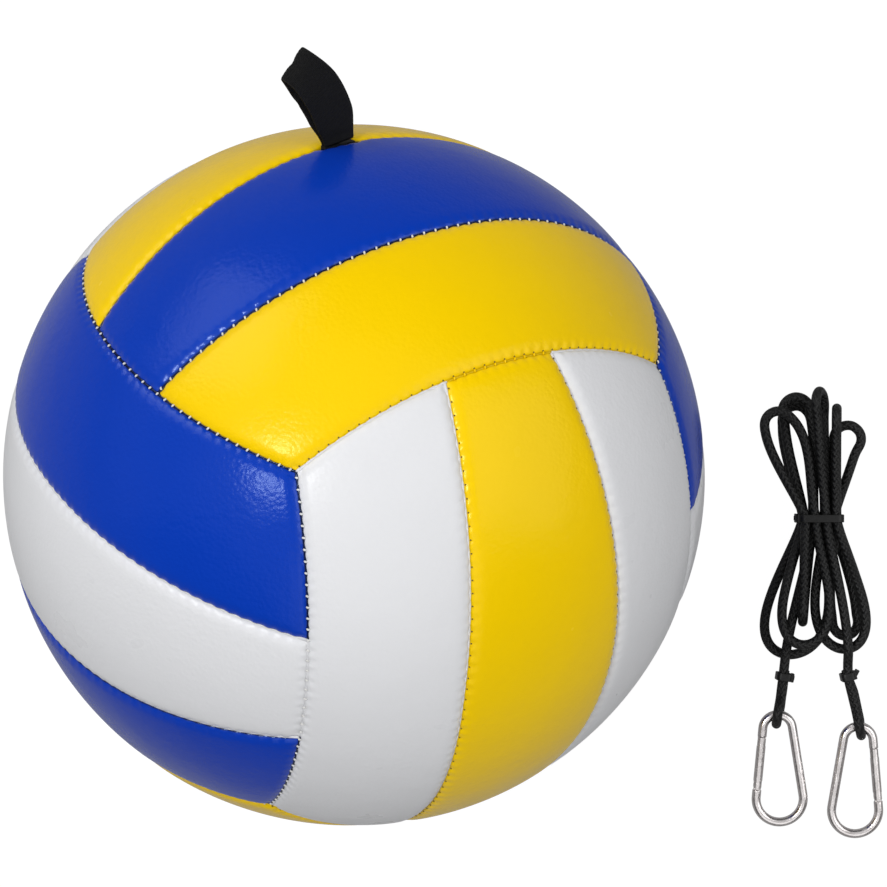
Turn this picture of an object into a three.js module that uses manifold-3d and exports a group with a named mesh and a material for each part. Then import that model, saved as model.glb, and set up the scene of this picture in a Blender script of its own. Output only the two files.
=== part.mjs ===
// Volleyball spike trainer: a panelled ball with a webbing loop sewn into one seam, lying beside
// a hank of elastic cord that ends in two pear-shaped snap hooks.
// Millimetres, +Z up. The origin is the middle of the flat on which the ball rests.

import * as THREE from 'three';
import { mergeVertices } from 'three/addons/utils/BufferGeometryUtils.js';
import Module from 'manifold-3d';

const wasm = await Module();
wasm.setup();

// General fits
const fit_gap = 0.35;
const cut_overrun = 1;
const round_segments = 16;

// Ball
const ball_diameter = 210;
const panel_thickness = 3.2;
const panel_rim_drop = 1.3;
const panel_rim_roll = 4;
const seam_gap = 0.3;
const panel_facet_dip = 1;
const carcass_thickness = 1.8;
const bladder_thickness = 1.2;
const shell_segments = 18;
const shell_rings = 10;
const contact_depth = 0.3;
const ball_turn_degrees = [-54.46, 5.23, 32.46];

// Pattern of the panels: six groups of three strips, laid like the faces of a cube
const middle_strip_half_degrees = 14.25;
const strip_end_share = 0.276;
const group_pinch_share = 0.112;
const seam_bow_power = 1.67;
const panel_along_shares = [0, 0.008, 0.03, 0.12, 0.25, 0.375, 0.5, 0.625, 0.75, 0.88, 0.97, 0.992, 1];
const panel_across_shares = [0, 0.03, 0.1, 0.37, 0.63, 0.9, 0.97, 1];

// Valve
const valve_hole_radius = 2.3;
const valve_neck_radius = 3.2;
const valve_flange_radius = 7;
const valve_flange_thickness = 1.6;
const valve_sink = 0.9;
const needle_hole_radius = 0.6;

// Webbing loop on the ball
const webbing_width = 13;
const webbing_thickness = 1.1;
const webbing_gather_width = 9.9;
const webbing_gather_height = 9;
const webbing_loop_height = 30.1;
const webbing_belly = 2.6;
const webbing_leg_gap = 0.5;
const webbing_root_lift = 0.8;
const webbing_seam_share = 0.01;
const webbing_lean_degrees = 5.8;
const webbing_bend_degrees = 41;
const webbing_tail_width = 15;
const webbing_tail_thickness = 1;

// Elastic cord and its hank
const cord_diameter = 3.2;
const strand_pitch = 3.78;
const strand_columns = 4;
const hank_place = [152.1, -15.5];
const hank_settle = 1.05;
const hank_settle_end = 14;

// Cable ties
const tie_width = 2.6;
const tie_thickness = 0.8;
const tie_gap = 0.3;
const waist_tie_gap = 0.6;
const tie_head_length = 3;
const tie_tongue_width = 1.6;
const tie_tongue_lean_degrees = 50;
const tie_heads = {
  waist: { side: -1, proud: 0.7, height: 4.4, tongue: 0 },
  left: { side: 1, proud: 1.4, height: 3.4, tongue: 0 },
  right: { side: 1, proud: 0.9, height: 3.4, tongue: 1.8 },
};

// Snap hooks
const hook_length = 39.5;
const hook_small_width = 12.9;
const hook_large_width = 18.8;
const hook_wire = 3;
const hook_floor_gap = 0.05;
const hook_nose_drop = 2.7;
const hook_hinge_rise = 4.1;
const hook_tongue = 1.1;
const hook_tongue_width = 2.3;
const hook_slot_gap = 0.2;
const hook_pin_radius = 0.42;
const hook_pin_gap = 0.2;
const hook_slot_depth = 2.1;
const hook_latch_offset = 1;
const spring_wire = 0.32;
const spring_radius = 0.45;
const spring_length = 5;
const spring_turns = 5;
const spring_bore_gap = 0.25;

// Derived sizes
const ball_radius = ball_diameter / 2;
const panel_inner_radius = ball_radius - panel_thickness;
const carcass_radius = panel_inner_radius - panel_facet_dip - fit_gap;
const bladder_radius = carcass_radius - carcass_thickness - fit_gap;
const cord_radius = cord_diameter / 2;
const tie_lift = tie_thickness + tie_gap + cord_radius + tie_gap / 2;
const tied_height = tie_lift + strand_pitch;
const wire_radius = hook_wire / 2;

const X = new THREE.Vector3(1, 0, 0);
const Y = new THREE.Vector3(0, 1, 0);
const Z = new THREE.Vector3(0, 0, 1);
const radians = THREE.MathUtils.degToRad;

const materials = {
  yellow: new THREE.MeshStandardMaterial({ color: 0xf0c818, roughness: 0.45 }),
  blue: new THREE.MeshStandardMaterial({ color: 0x12309c, roughness: 0.45 }),
  white: new THREE.MeshStandardMaterial({ color: 0xe9e9e6, roughness: 0.45 }),
  carcass: new THREE.MeshStandardMaterial({ color: 0xd8d2c0, roughness: 0.9 }),
  bladder: new THREE.MeshStandardMaterial({ color: 0x23211f, roughness: 0.7 }),
  webbing: new THREE.MeshStandardMaterial({ color: 0x151516, roughness: 0.85 }),
  cord: new THREE.MeshStandardMaterial({ color: 0x141416, roughness: 0.8 }),
  tie: new THREE.MeshStandardMaterial({ color: 0x101012, roughness: 0.5 }),
  steel: new THREE.MeshStandardMaterial({ color: 0xb9b3b2, roughness: 0.28, metalness: 0.95 }),
};

// Solids

function plain(geometry) {
  const bare = geometry.clone();
  bare.deleteAttribute('normal');
  bare.deleteAttribute('uv');
  const tolerance = 1e-5;
  return mergeVertices(bare, tolerance);
}

function facingOut(geometry) {
  const position = geometry.getAttribute('position');
  const index = geometry.getIndex();
  const a = new THREE.Vector3();
  const b = new THREE.Vector3();
  const c = new THREE.Vector3();
  let volume = 0;
  for (let i = 0; i < index.count; i += 3) {
    a.fromBufferAttribute(position, index.getX(i));
    b.fromBufferAttribute(position, index.getX(i + 1));
    c.fromBufferAttribute(position, index.getX(i + 2));
    volume += a.dot(b.cross(c));
  }
  if (volume < 0) {
    for (let i = 0; i < index.count; i += 3) {
      const kept = index.getX(i);
      index.setX(i, index.getX(i + 1));
      index.setX(i + 1, kept);
    }
  }
  return geometry;
}

function solid(geometry) {
  const closed = facingOut(plain(geometry));
  return new wasm.Manifold(new wasm.Mesh({
    numProp: 3,
    vertProperties: new Float32Array(closed.getAttribute('position').array),
    triVerts: new Uint32Array(closed.getIndex().array),
  }));
}

function geometryOf(body) {
  const mesh = body.getMesh();
  const geometry = new THREE.BufferGeometry();
  geometry.setAttribute('position', new THREE.BufferAttribute(new Float32Array(mesh.vertProperties), 3));
  geometry.setIndex(new THREE.BufferAttribute(new Uint32Array(mesh.triVerts), 1));
  return geometry;
}

function indexed(points, triangles) {
  const geometry = new THREE.BufferGeometry();
  const numbers = points.flatMap((p) => [p.x, p.y, p.z]);
  geometry.setAttribute('position', new THREE.Float32BufferAttribute(numbers, 3));
  geometry.setIndex(triangles.flat());
  return facingOut(geometry);
}

// A slab between two grids of points, closed round its rim
function slab(rows, columns, upper, lower) {
  const points = [];
  for (const surface of [upper, lower]) {
    for (let i = 0; i < rows; i += 1) {
      for (let j = 0; j < columns; j += 1) {
        points.push(surface(i, j));
      }
    }
  }
  const at = (layer, i, j) => layer * rows * columns + i * columns + j;
  const triangles = [];
  const quad = (a, b, c, d) => triangles.push([a, b, c], [a, c, d]);
  for (let i = 0; i + 1 < rows; i += 1) {
    for (let j = 0; j + 1 < columns; j += 1) {
      quad(at(0, i, j), at(0, i + 1, j), at(0, i + 1, j + 1), at(0, i, j + 1));
      quad(at(1, i, j), at(1, i, j + 1), at(1, i + 1, j + 1), at(1, i + 1, j));
    }
    const last = columns - 1;
    quad(at(0, i, 0), at(1, i, 0), at(1, i + 1, 0), at(0, i + 1, 0));
    quad(at(0, i, last), at(0, i + 1, last), at(1, i + 1, last), at(1, i, last));
  }
  for (let j = 0; j + 1 < columns; j += 1) {
    quad(at(0, 0, j), at(0, 0, j + 1), at(1, 0, j + 1), at(1, 0, j));
    quad(at(0, rows - 1, j), at(1, rows - 1, j), at(1, rows - 1, j + 1), at(0, rows - 1, j + 1));
  }
  return indexed(points, triangles);
}

// A round tube through a list of centre points, with flat ends
function roundTube(centres, radius, sides) {
  const tangents = centres.map((p, i) => {
    const before = centres[Math.max(i - 1, 0)];
    const after = centres[Math.min(i + 1, centres.length - 1)];
    return after.clone().sub(before).normalize();
  });
  const normal = new THREE.Vector3().crossVectors(tangents[0], X).normalize();
  const points = [];
  centres.forEach((centre, i) => {
    normal.addScaledVector(tangents[i], -normal.dot(tangents[i])).normalize();
    const across = new THREE.Vector3().crossVectors(tangents[i], normal);
    for (let k = 0; k < sides; k += 1) {
      const turn = 2 * Math.PI * k / sides;
      points.push(centre.clone()
        .addScaledVector(normal, radius * Math.cos(turn))
        .addScaledVector(across, radius * Math.sin(turn)));
    }
  });
  const triangles = [];
  for (let i = 0; i + 1 < centres.length; i += 1) {
    for (let k = 0; k < sides; k += 1) {
      const a = i * sides + k;
      const b = i * sides + (k + 1) % sides;
      triangles.push([a, b, b + sides], [a, b + sides, a + sides]);
    }
  }
  const last = (centres.length - 1) * sides;
  for (let k = 1; k + 1 < sides; k += 1) {
    triangles.push([0, k + 1, k], [last, last + k, last + k + 1]);
  }
  return indexed(points, triangles);
}

function cylinder(radius, length, axis, segments) {
  const geometry = new THREE.CylinderGeometry(radius, radius, length, segments);
  const turn = new THREE.Quaternion().setFromUnitVectors(Y, axis);
  return geometry.applyQuaternion(turn);
}

function box(width, depth, height, x, y, z) {
  return new THREE.BoxGeometry(width, depth, height).translate(x, y, z);
}

function part(parent, name, geometry, material) {
  const mesh = new THREE.Mesh(geometry, material);
  mesh.name = name;
  parent.add(mesh);
  return mesh;
}

// Pattern of the ball's seams, as directions from its centre

const opposite = (direction) => direction.clone().negate();
const groups = [
  { name: 'top', normal: Z, along: X, across: Y, colours: ['yellow', 'blue', 'yellow'] },
  { name: 'bottom', normal: opposite(Z), along: X, across: Y, colours: ['yellow', 'blue', 'yellow'] },
  { name: 'right', normal: X, along: Y, across: Z, colours: ['blue', 'white', 'blue'] },
  { name: 'left', normal: opposite(X), along: Y, across: Z, colours: ['blue', 'white', 'blue'] },
  { name: 'back', normal: Y, along: Z, across: X, colours: ['white', 'yellow', 'white'] },
  { name: 'front', normal: opposite(Y), along: Z, across: X, colours: ['white', 'yellow', 'white'] },
];

function between(a, b, share) {
  const angle = a.angleTo(b);
  return a.clone().multiplyScalar(Math.sin((1 - share) * angle))
    .addScaledVector(b, Math.sin(share * angle))
    .divideScalar(Math.sin(angle));
}

// Long side of a group, from one corner of the cube to the next, place running from -1 to 1
function groupEdge(group, side, place) {
  const middle = group.normal.clone().addScaledVector(group.across, side);
  const start = middle.clone().sub(group.along).normalize();
  const end = middle.clone().add(group.along).normalize();
  const outward = group.across.clone().multiplyScalar(side).sub(group.normal).normalize();
  const pinch = group_pinch_share * (1 - place ** 2);
  return between(start, end, (place + 1) / 2).addScaledVector(outward, -pinch).normalize();
}

// The short side of a group is a stretch of its neighbour's long side
function groupEnd(group, end, place) {
  const neighbour = groups.find((other) => Math.round(other.normal.dot(group.along)) === end);
  const side = Math.sign(neighbour.across.dot(group.normal));
  return groupEdge(neighbour, side, place * Math.sign(neighbour.along.dot(group.across)));
}

function innerSeam(group, side, place) {
  const corner = groupEnd(group, 1, side * strip_end_share);
  const reach = Math.atan2(corner.dot(group.along), corner.dot(group.normal));
  const endTilt = Math.asin(corner.dot(group.across)) * side;
  const middleTilt = radians(middle_strip_half_degrees);
  const tilt = middleTilt + (endTilt - middleTilt) * Math.abs(place) ** seam_bow_power;
  return group.normal.clone().multiplyScalar(Math.cos(reach * place))
    .addScaledVector(group.along, Math.sin(reach * place))
    .multiplyScalar(Math.cos(tilt))
    .addScaledVector(group.across, side * Math.sin(tilt));
}

// Direction inside one strip: strip is -1, 0 or 1, and both shares run from 0 to 1
function stripPoint(group, strip, alongShare, acrossShare) {
  const place = 2 * alongShare - 1;
  const lowSide = strip === 0 ? -1 : 1;
  const low = (at) => (strip === -1 ? groupEdge(group, -1, at) : innerSeam(group, lowSide, at));
  const high = (at) => (strip === 1 ? groupEdge(group, 1, at) : innerSeam(group, -lowSide, at));
  const lowPlace = [-1, -strip_end_share, strip_end_share][strip + 1];
  const highPlace = [-strip_end_share, strip_end_share, 1][strip + 1];
  const end = (sign) => groupEnd(group, sign, lowPlace + (highPlace - lowPlace) * acrossShare);
  const chord = (sign) => low(sign).lerp(high(sign), acrossShare);
  return low(place).lerp(high(place), acrossShare)
    .addScaledVector(end(-1).sub(chord(-1)), 1 - alongShare)
    .addScaledVector(end(1).sub(chord(1)), alongShare)
    .normalize();
}

// The ball's lowest point as shares of a strip, or none where it lies in another strip
function groundShares(group, strip) {
  const away = ([along, across]) => stripPoint(group, strip, along, across).angleTo(down);
  const finest_share = 1e-5;
  let spot = [1 / 2, 1 / 2];
  let step = 1 / 4;
  while (step > finest_share) {
    const moves = [[step, 0], [-step, 0], [0, step], [0, -step]];
    const best = moves
      .map((move) => spot.map((share, k) => THREE.MathUtils.clamp(share + move[k], 0, 1)))
      .reduce((a, b) => (away(b) < away(a) ? b : a));
    if (away(best) < away(spot)) {
      spot = best;
    } else {
      step /= 2;
    }
  }
  return ball_radius * away(spot) < fit_gap ? spot : null;
}

function withShare(shares, share) {
  return [...shares, share].sort((a, b) => a - b);
}

function panelGeometry(group, strip) {
  const ground = groundShares(group, strip);
  const alongShares = ground ? withShare(panel_along_shares, ground[0]) : panel_along_shares;
  const acrossShares = ground ? withShare(panel_across_shares, ground[1]) : panel_across_shares;
  const at = (along, across) => stripPoint(group, strip, along, across);
  const shoulder = (distance) => Math.sqrt(1 - (1 - Math.min(distance / panel_rim_roll, 1)) ** 2);
  const length = ball_radius * at(0, 1 / 2).angleTo(at(1, 1 / 2));
  const spot = (i, j) => {
    const along = alongShares[i];
    const across = acrossShares[j];
    const width = ball_radius * at(along, 0).angleTo(at(along, 1));
    const acrossInset = seam_gap / 2 / width;
    const alongInset = seam_gap / 2 / length;
    const direction = at(alongInset + along * (1 - 2 * alongInset),
      acrossInset + across * (1 - 2 * acrossInset));
    const roll = shoulder(Math.min(across, 1 - across) * width)
      * shoulder(Math.min(along, 1 - along) * length);
    return { direction, radius: ball_radius - panel_rim_drop * (1 - roll) };
  };
  return slab(alongShares.length, acrossShares.length,
    (i, j) => spot(i, j).direction.multiplyScalar(spot(i, j).radius),
    (i, j) => spot(i, j).direction.multiplyScalar(panel_inner_radius));
}

// Ball

const model = new THREE.Group();
const ball = new THREE.Group();
ball.position.set(0, 0, ball_radius - contact_depth);
ball.rotation.set(...ball_turn_degrees.map(radians), 'XYZ');
ball.updateMatrixWorld(true);
model.add(ball);

const top = groups.find((group) => group.name === 'top');
const bottom = groups.find((group) => group.name === 'bottom');

// Frame of the webbing loop, whose width runs along the seam that it leaves by
const webbingOut = innerSeam(top, 1, webbing_seam_share);
const seam_probe_share = 0.01;
const webbingAlong = innerSeam(top, 1, webbing_seam_share + seam_probe_share).sub(webbingOut);
webbingAlong.addScaledVector(webbingOut, -webbingAlong.dot(webbingOut)).normalize();
const webbingFace = new THREE.Vector3().crossVectors(webbingOut, webbingAlong);
const webbingFrame = new THREE.Matrix4().makeBasis(webbingAlong, webbingFace, webbingOut);
const webbing_stem_thickness = 2 * webbing_thickness + webbing_leg_gap;

const slot = solid(box(webbing_gather_width + 2 * fit_gap, webbing_stem_thickness + 2 * fit_gap,
  4 * panel_thickness, 0, 0, ball_radius).applyMatrix4(webbingFrame));
const valveHole = solid(cylinder(valve_hole_radius, 4 * panel_thickness, Z, round_segments)
  .translate(0, 0, -ball_radius));
const intoBall = ball.matrixWorld.clone().invert();
const down = opposite(Z).transformDirection(intoBall);
const floorBlock = solid(box(ball_radius, ball_radius, ball_radius, 0, 0, -ball_radius / 2)
  .applyMatrix4(intoBall));

for (const group of groups) {
  ['side_a', 'middle', 'side_b'].forEach((label, k) => {
    let body = solid(panelGeometry(group, k - 1));
    if (group === top && k > 0) {
      body = body.subtract(slot);
    }
    if (group === bottom && k === 1) {
      body = body.subtract(valveHole);
    }
    if (group.name === 'back') {
      body = body.subtract(floorBlock);
    }
    part(ball, `panel_${group.name}_${label}`, geometryOf(body), materials[group.colours[k]]);
  });
}

// Carcass and bladder are hollow balls with an opening for the valve, seen from its axis
function hollowBall(radius, thickness, openingRadius) {
  const sphere = (r) => solid(new THREE.SphereGeometry(r, shell_segments, shell_rings)
    .rotateX(-Math.PI / 2));
  const opening = solid(cylinder(openingRadius, 4 * thickness, Z, round_segments)
    .translate(0, 0, -radius));
  return sphere(radius).subtract(sphere(radius - thickness)).subtract(opening);
}

const neckOpening = valve_neck_radius + fit_gap;
const tailPocket = solid(box(webbing_gather_width + 2 * fit_gap, webbing_tail_width + 2 * fit_gap,
  4 * carcass_thickness, 0, 0, carcass_radius).applyMatrix4(webbingFrame));
const carcassBall = hollowBall(carcass_radius, carcass_thickness, neckOpening).subtract(tailPocket);
part(ball, 'carcass', geometryOf(carcassBall), materials.carcass);
const bladderBall = hollowBall(bladder_radius, bladder_thickness, neckOpening);
part(ball, 'bladder', geometryOf(bladderBall), materials.bladder);

// Valve: a flange inside the bladder, a neck through the wall and a bare nose sunk below the leather
function valveGeometry() {
  const facetDrop = valve_flange_radius * Math.tan(Math.PI / shell_rings / 2);
  const flangeTop = bladder_radius - bladder_thickness - fit_gap - facetDrop;
  const neckTop = carcass_radius;
  const noseRadius = valve_hole_radius - fit_gap;
  const flangeDrop = valve_flange_radius ** 2 / (2 * bladder_radius);
  const profile = [
    [needle_hole_radius, flangeTop - valve_flange_thickness],
    [valve_flange_radius - valve_flange_thickness / 2, flangeTop - valve_flange_thickness],
    [valve_flange_radius, flangeTop - valve_flange_thickness / 2 - flangeDrop],
    [valve_flange_radius - valve_flange_thickness / 2, flangeTop - 2 * flangeDrop],
    [valve_neck_radius, flangeTop - flangeDrop],
    [valve_neck_radius, neckTop],
    [noseRadius, neckTop],
    [noseRadius, ball_radius - valve_sink - noseRadius / 4],
    [noseRadius - noseRadius / 4, ball_radius - valve_sink],
    [needle_hole_radius, ball_radius - valve_sink],
  ].map(([r, y]) => new THREE.Vector2(r, y));
  profile.push(profile[0].clone());
  return facingOut(plain(new THREE.LatheGeometry(profile, round_segments).rotateX(-Math.PI / 2)));
}
part(ball, 'valve', valveGeometry(), materials.bladder);

// Sewn tail: the two legs go down through the slot and spread between the carcass and the panels
function webbingTailGeometry() {
  const tailTop = carcass_radius - webbing_tail_width ** 2 / (8 * ball_radius);
  const stemTop = ball_radius - panel_rim_drop / 2;
  const stemLow = tailTop - webbing_tail_thickness;
  const stem = solid(box(webbing_gather_width, webbing_stem_thickness, stemTop - stemLow,
    0, 0, (stemTop + stemLow) / 2));
  const tail = solid(box(webbing_gather_width, webbing_tail_width, webbing_tail_thickness,
    0, 0, tailTop - webbing_tail_thickness / 2));
  return geometryOf(stem.add(tail)).applyMatrix4(webbingFrame);
}
part(ball, 'strap_anchor', webbingTailGeometry(), materials.webbing);

// The teardrop that a flexible loop makes: turn runs from 0 to pi, and its widest place is at 60 degrees
const teardrop_crest = Math.sin(2 * Math.PI / 3) * Math.sin(Math.PI / 3) ** 2;
function teardrop(turn) {
  return Math.sin(2 * turn) * Math.sin(turn) ** 2 / teardrop_crest;
}

function webbingLoopGeometry() {
  const steps = 22;
  const legHalf = (webbing_leg_gap + webbing_thickness) / 2;
  const centre = (k) => {
    const turn = Math.PI * k / steps;
    return new THREE.Vector2(
      legHalf * Math.cos(turn) + webbing_belly * teardrop(turn),
      webbing_root_lift + (webbing_loop_height - webbing_root_lift) * Math.sin(turn) ** 2,
    );
  };
  const outer = [];
  const inner = [];
  for (let k = 0; k <= steps; k += 1) {
    const ahead = centre(Math.min(k + 1, steps)).sub(centre(Math.max(k - 1, 0)));
    if (k === 0 || k === steps) {
      ahead.set(0, k === 0 ? 1 : -1);
    }
    ahead.normalize().multiplyScalar(webbing_thickness / 2);
    outer.push(centre(k).add(new THREE.Vector2(ahead.y, -ahead.x)));
    inner.unshift(centre(k).add(new THREE.Vector2(-ahead.y, ahead.x)));
  }
  const shape = new THREE.Shape([...outer, ...inner]);
  const flat = plain(new THREE.ExtrudeGeometry(shape, { depth: 1, steps: 1, bevelEnabled: false }));
  const position = flat.getAttribute('position');
  const lean = radians(webbing_lean_degrees);
  const bend = radians(webbing_bend_degrees) / webbing_loop_height;
  for (let i = 0; i < position.count; i += 1) {
    const height = position.getY(i);
    const gather = THREE.MathUtils.smoothstep(height, 0, webbing_gather_height);
    const width = webbing_gather_width + (webbing_width - webbing_gather_width) * gather;
    const sideways = width * (position.getZ(i) - 1 / 2);
    const tilt = lean + bend * height;
    const place = webbingOut.clone().multiplyScalar(ball_radius)
      .addScaledVector(webbingAlong, (Math.cos(tilt) - Math.cos(lean)) / bend + sideways * Math.cos(tilt))
      .addScaledVector(webbingOut, (Math.sin(tilt) - Math.sin(lean)) / bend + sideways * Math.sin(tilt))
      .addScaledVector(webbingFace, position.getX(i));
    position.setXYZ(i, place.x, place.y, place.z);
  }
  return facingOut(flat);
}
part(ball, 'strap_loop', webbingLoopGeometry(), materials.webbing);

// Hank of cord. Its strands pass the waist in four columns, a to d, and three layers, 0 to 2.
// Sizes are from the middle of the waist: across to the right, and reach away from the waist.

const hank = new THREE.Group();
hank.position.set(hank_place[0], hank_place[1], 0);
hank.updateMatrixWorld(true);
model.add(hank);

function waistStrand(name) {
  const column = name.charCodeAt(0) - 'a'.charCodeAt(0);
  return {
    across: (column - (strand_columns - 1) / 2) * strand_pitch,
    height: tie_lift + Number(name[1]) * strand_pitch,
  };
}

// Each loop starts and ends on a strand of the waist. Reach is how far it goes, tip is where its
// far end lies across, and half is half its width. Each of its sides climbs or drops between the
// two distances of the window, and stand is how far the loop stands up on edge.
const steps_per_loop = 24;
const side_blend_share = 0.9;
const cord_loops = [
  { from: 'b1', to: 'a1', up: 1, reach: 41.3, tip: -8.2, half: 3.6,
    climb: [0.2, -0.3], window: [7, 26], stand: 0.8 },
  { from: 'a1', to: 'b2', up: -1, reach: 42.1, tip: -5.7, half: 7,
    climb: [4.7, 0.7], window: [7, 26], stand: 0.4 },
  { from: 'b2', to: 'a2', up: 1, reach: 35.7, tip: -14.7, half: 5.3,
    climb: [-0.1, 0], window: [9, 28], stand: 0.8 },
  { from: 'a2', to: 'b0', up: -1, reach: 36.3, tip: -5.8, half: -0.3,
    climb: [-0.1, 1.9], window: [7, 35], stand: 0.9 },
  { from: 'b0', to: 'a0', up: 1, reach: 37.9, tip: -7.6, half: 4.4,
    climb: [0.6, 0.4], window: [8, 28], stand: -1.3 },
  { from: 'a0', to: 'c0', up: -1, reach: 45.9, tip: -9.4, half: 8.7,
    climb: [1, 0.3], window: [8, 28], stand: -1.3 },
  { from: 'c0', to: 'd0', up: 1, reach: 32.2, tip: 11.2, half: 2.8,
    climb: [0.6, 0.6], window: [7, 27], stand: -1.5 },
  { from: 'd0', to: 'd1', up: -1, reach: 40.1, tip: 9.3, half: 4.4,
    climb: [0.2, -0.4], window: [1, 25], stand: 0.5 },
  { from: 'd1', to: 'd2', up: 1, reach: 38.4, tip: 5.4, half: 0.4,
    climb: [1.4, 0.2], window: [8, 27], stand: 2 },
  { from: 'd2', to: 'c1', up: -1, reach: 43.8, tip: 8.5, half: 7.5,
    climb: [-4, 0], window: [9, 24], stand: 0.1 },
  { from: 'c1', to: 'c2', up: 1, reach: 43.8, tip: -0.3, half: 1.4,
    climb: [-0.3, 0.5], window: [7, 27], stand: 1.6 },
];

function settle(reach) {
  return hank_settle * THREE.MathUtils.smoothstep(reach, 0, hank_settle_end);
}

function loopPoint(loop, step) {
  const turn = Math.PI * step / steps_per_loop;
  const rise = Math.sin(turn) ** 2;
  const start = waistStrand(loop.from);
  const end = waistStrand(loop.to);
  const reach = loop.reach * rise;
  const climbed = THREE.MathUtils.smoothstep(reach, ...loop.window);
  const startHeight = start.height + loop.climb[0] * climbed;
  const endHeight = end.height + loop.climb[1] * climbed;
  const nearStart = (1 + Math.cos(turn)) / 2;
  const highStart = THREE.MathUtils.smoothstep(Math.cos(turn), -side_blend_share, side_blend_share);
  const sideways = Math.sign(start.across - end.across);
  const upward = Math.sign(start.height - end.height);
  const middle = (start.across + end.across) / 2;
  return new THREE.Vector3(
    end.across + (start.across - end.across) * nearStart + (loop.tip - middle) * rise
      + loop.half * (sideways === 0 ? 1 : sideways) * teardrop(turn),
    loop.up * reach,
    endHeight + (startHeight - endHeight) * highStart
      + loop.stand * (upward * teardrop(turn) + rise / 2) - settle(reach),
  );
}

// The two ends leave the waist downwards, cross over the loops at one height and come down to the ties
const cord_leads = {
  left: { strand: 'b1', end: [-11.8, -49.6], crossing: 6.2, sway: -0.1 },
  right: { strand: 'c2', end: [9.4, -49.6], crossing: 10, sway: 1 },
};
const lead_steps = 24;
const lead_rise_share = 0.75;
const lead_drop_share = 0.86;

function leadPoint(lead, share) {
  const start = waistStrand(lead.strand);
  const [endAcross, endAlong] = lead.end;
  const ease = THREE.MathUtils.smoothstep(share, 0, 1);
  return new THREE.Vector3(
    start.across + (endAcross - start.across) * (share + ease) / 2 + lead.sway * Math.sin(Math.PI * share),
    endAlong * share,
    start.height - settle(-endAlong * share)
      + (lead.crossing - start.height + hank_settle) * THREE.MathUtils.smoothstep(share, 0, lead_rise_share)
      + (tied_height - lead.crossing) * THREE.MathUtils.smoothstep(share, lead_drop_share, 1),
  );
}

function hankCentres() {
  const centres = [];
  const tail = (lead) => {
    const last = leadPoint(lead, 1);
    const out = last.clone().sub(leadPoint(lead, 1 - 1 / lead_steps)).setZ(0).normalize();
    return [last, last.clone().addScaledVector(out, cord_diameter)];
  };
  const down = (lead) => {
    const points = [];
    for (let k = 1; k < lead_steps; k += 1) {
      points.push(leadPoint(lead, k / lead_steps));
    }
    return [...points, ...tail(lead)];
  };
  centres.push(...down(cord_leads.left).reverse());
  for (const loop of cord_loops) {
    for (let step = 0; step < steps_per_loop; step += 1) {
      centres.push(loopPoint(loop, step));
    }
  }
  const finish = cord_loops[cord_loops.length - 1];
  centres.push(loopPoint(finish, steps_per_loop), ...down(cord_leads.right));
  return centres;
}

// Least clear gap between stretches of the tube that lie more than three diameters apart along it
function leastSelfGap(centres, radius) {
  const walked = [0];
  for (let i = 1; i < centres.length; i += 1) {
    walked.push(walked[i - 1] + centres[i].distanceTo(centres[i - 1]));
  }
  const spread = [];
  const finest = radius / 2;
  for (let i = 0; i + 1 < centres.length; i += 1) {
    const pieces = Math.max(1, Math.ceil((walked[i + 1] - walked[i]) / finest));
    for (let k = 0; k < pieces; k += 1) {
      const share = k / pieces;
      spread.push({ at: centres[i].clone().lerp(centres[i + 1], share),
        walked: walked[i] + share * (walked[i + 1] - walked[i]) });
    }
  }
  let least = { gap: Infinity };
  for (let i = 0; i < spread.length; i += 1) {
    for (let j = i + 1; j < spread.length; j += 1) {
      if (spread[j].walked - spread[i].walked > 6 * radius) {
        const gap = spread[i].at.distanceTo(spread[j].at) - 2 * radius;
        if (gap < least.gap) {
          least = { gap, first: spread[i].at, second: spread[j].at };
        }
      }
    }
  }
  return { ...least, length: walked[walked.length - 1] };
}

const hank_centres = hankCentres();
const hank_measure = leastSelfGap(hank_centres, cord_radius);
const spotText = (p) => p.toArray().map((value) => value.toFixed(1)).join(', ');
console.log(`hank: cord length ${hank_measure.length.toFixed(0)} mm, least gap to itself `
  + `${hank_measure.gap.toFixed(2)} mm between (${spotText(hank_measure.first)}) and `
  + `(${spotText(hank_measure.second)})`);
const hank_sides = 6;
part(hank, 'cord_hank', roundTube(hank_centres, cord_radius, hank_sides), materials.cord);

// Free ends of the cord: each runs from the hank to its hook, round the wire and back under the tie,
// where it lies a little to one side

const cord_ends = {
  left: { run: 12.7, run_degrees: -8.27, aside: 0.9, tied_aside: 0.7 },
  right: { run: 16.89, run_degrees: 13.08, aside: 1.3, tied_aside: 0.3 },
};
const aside_blend_share = 0.4;
const eye_low = cord_radius + hook_floor_gap;
const eye_radius = wire_radius + fit_gap + cord_radius;
const eye_height = eye_low + eye_radius;
const run_shares = [0, 0.2, 0.45, 0.7, 0.9];
const back_shares = [0.9, 0.7, 0.45, 0.2, 0];
const eye_steps = 8;
const tail_length = 2;
const lead_sides = 8;

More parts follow.
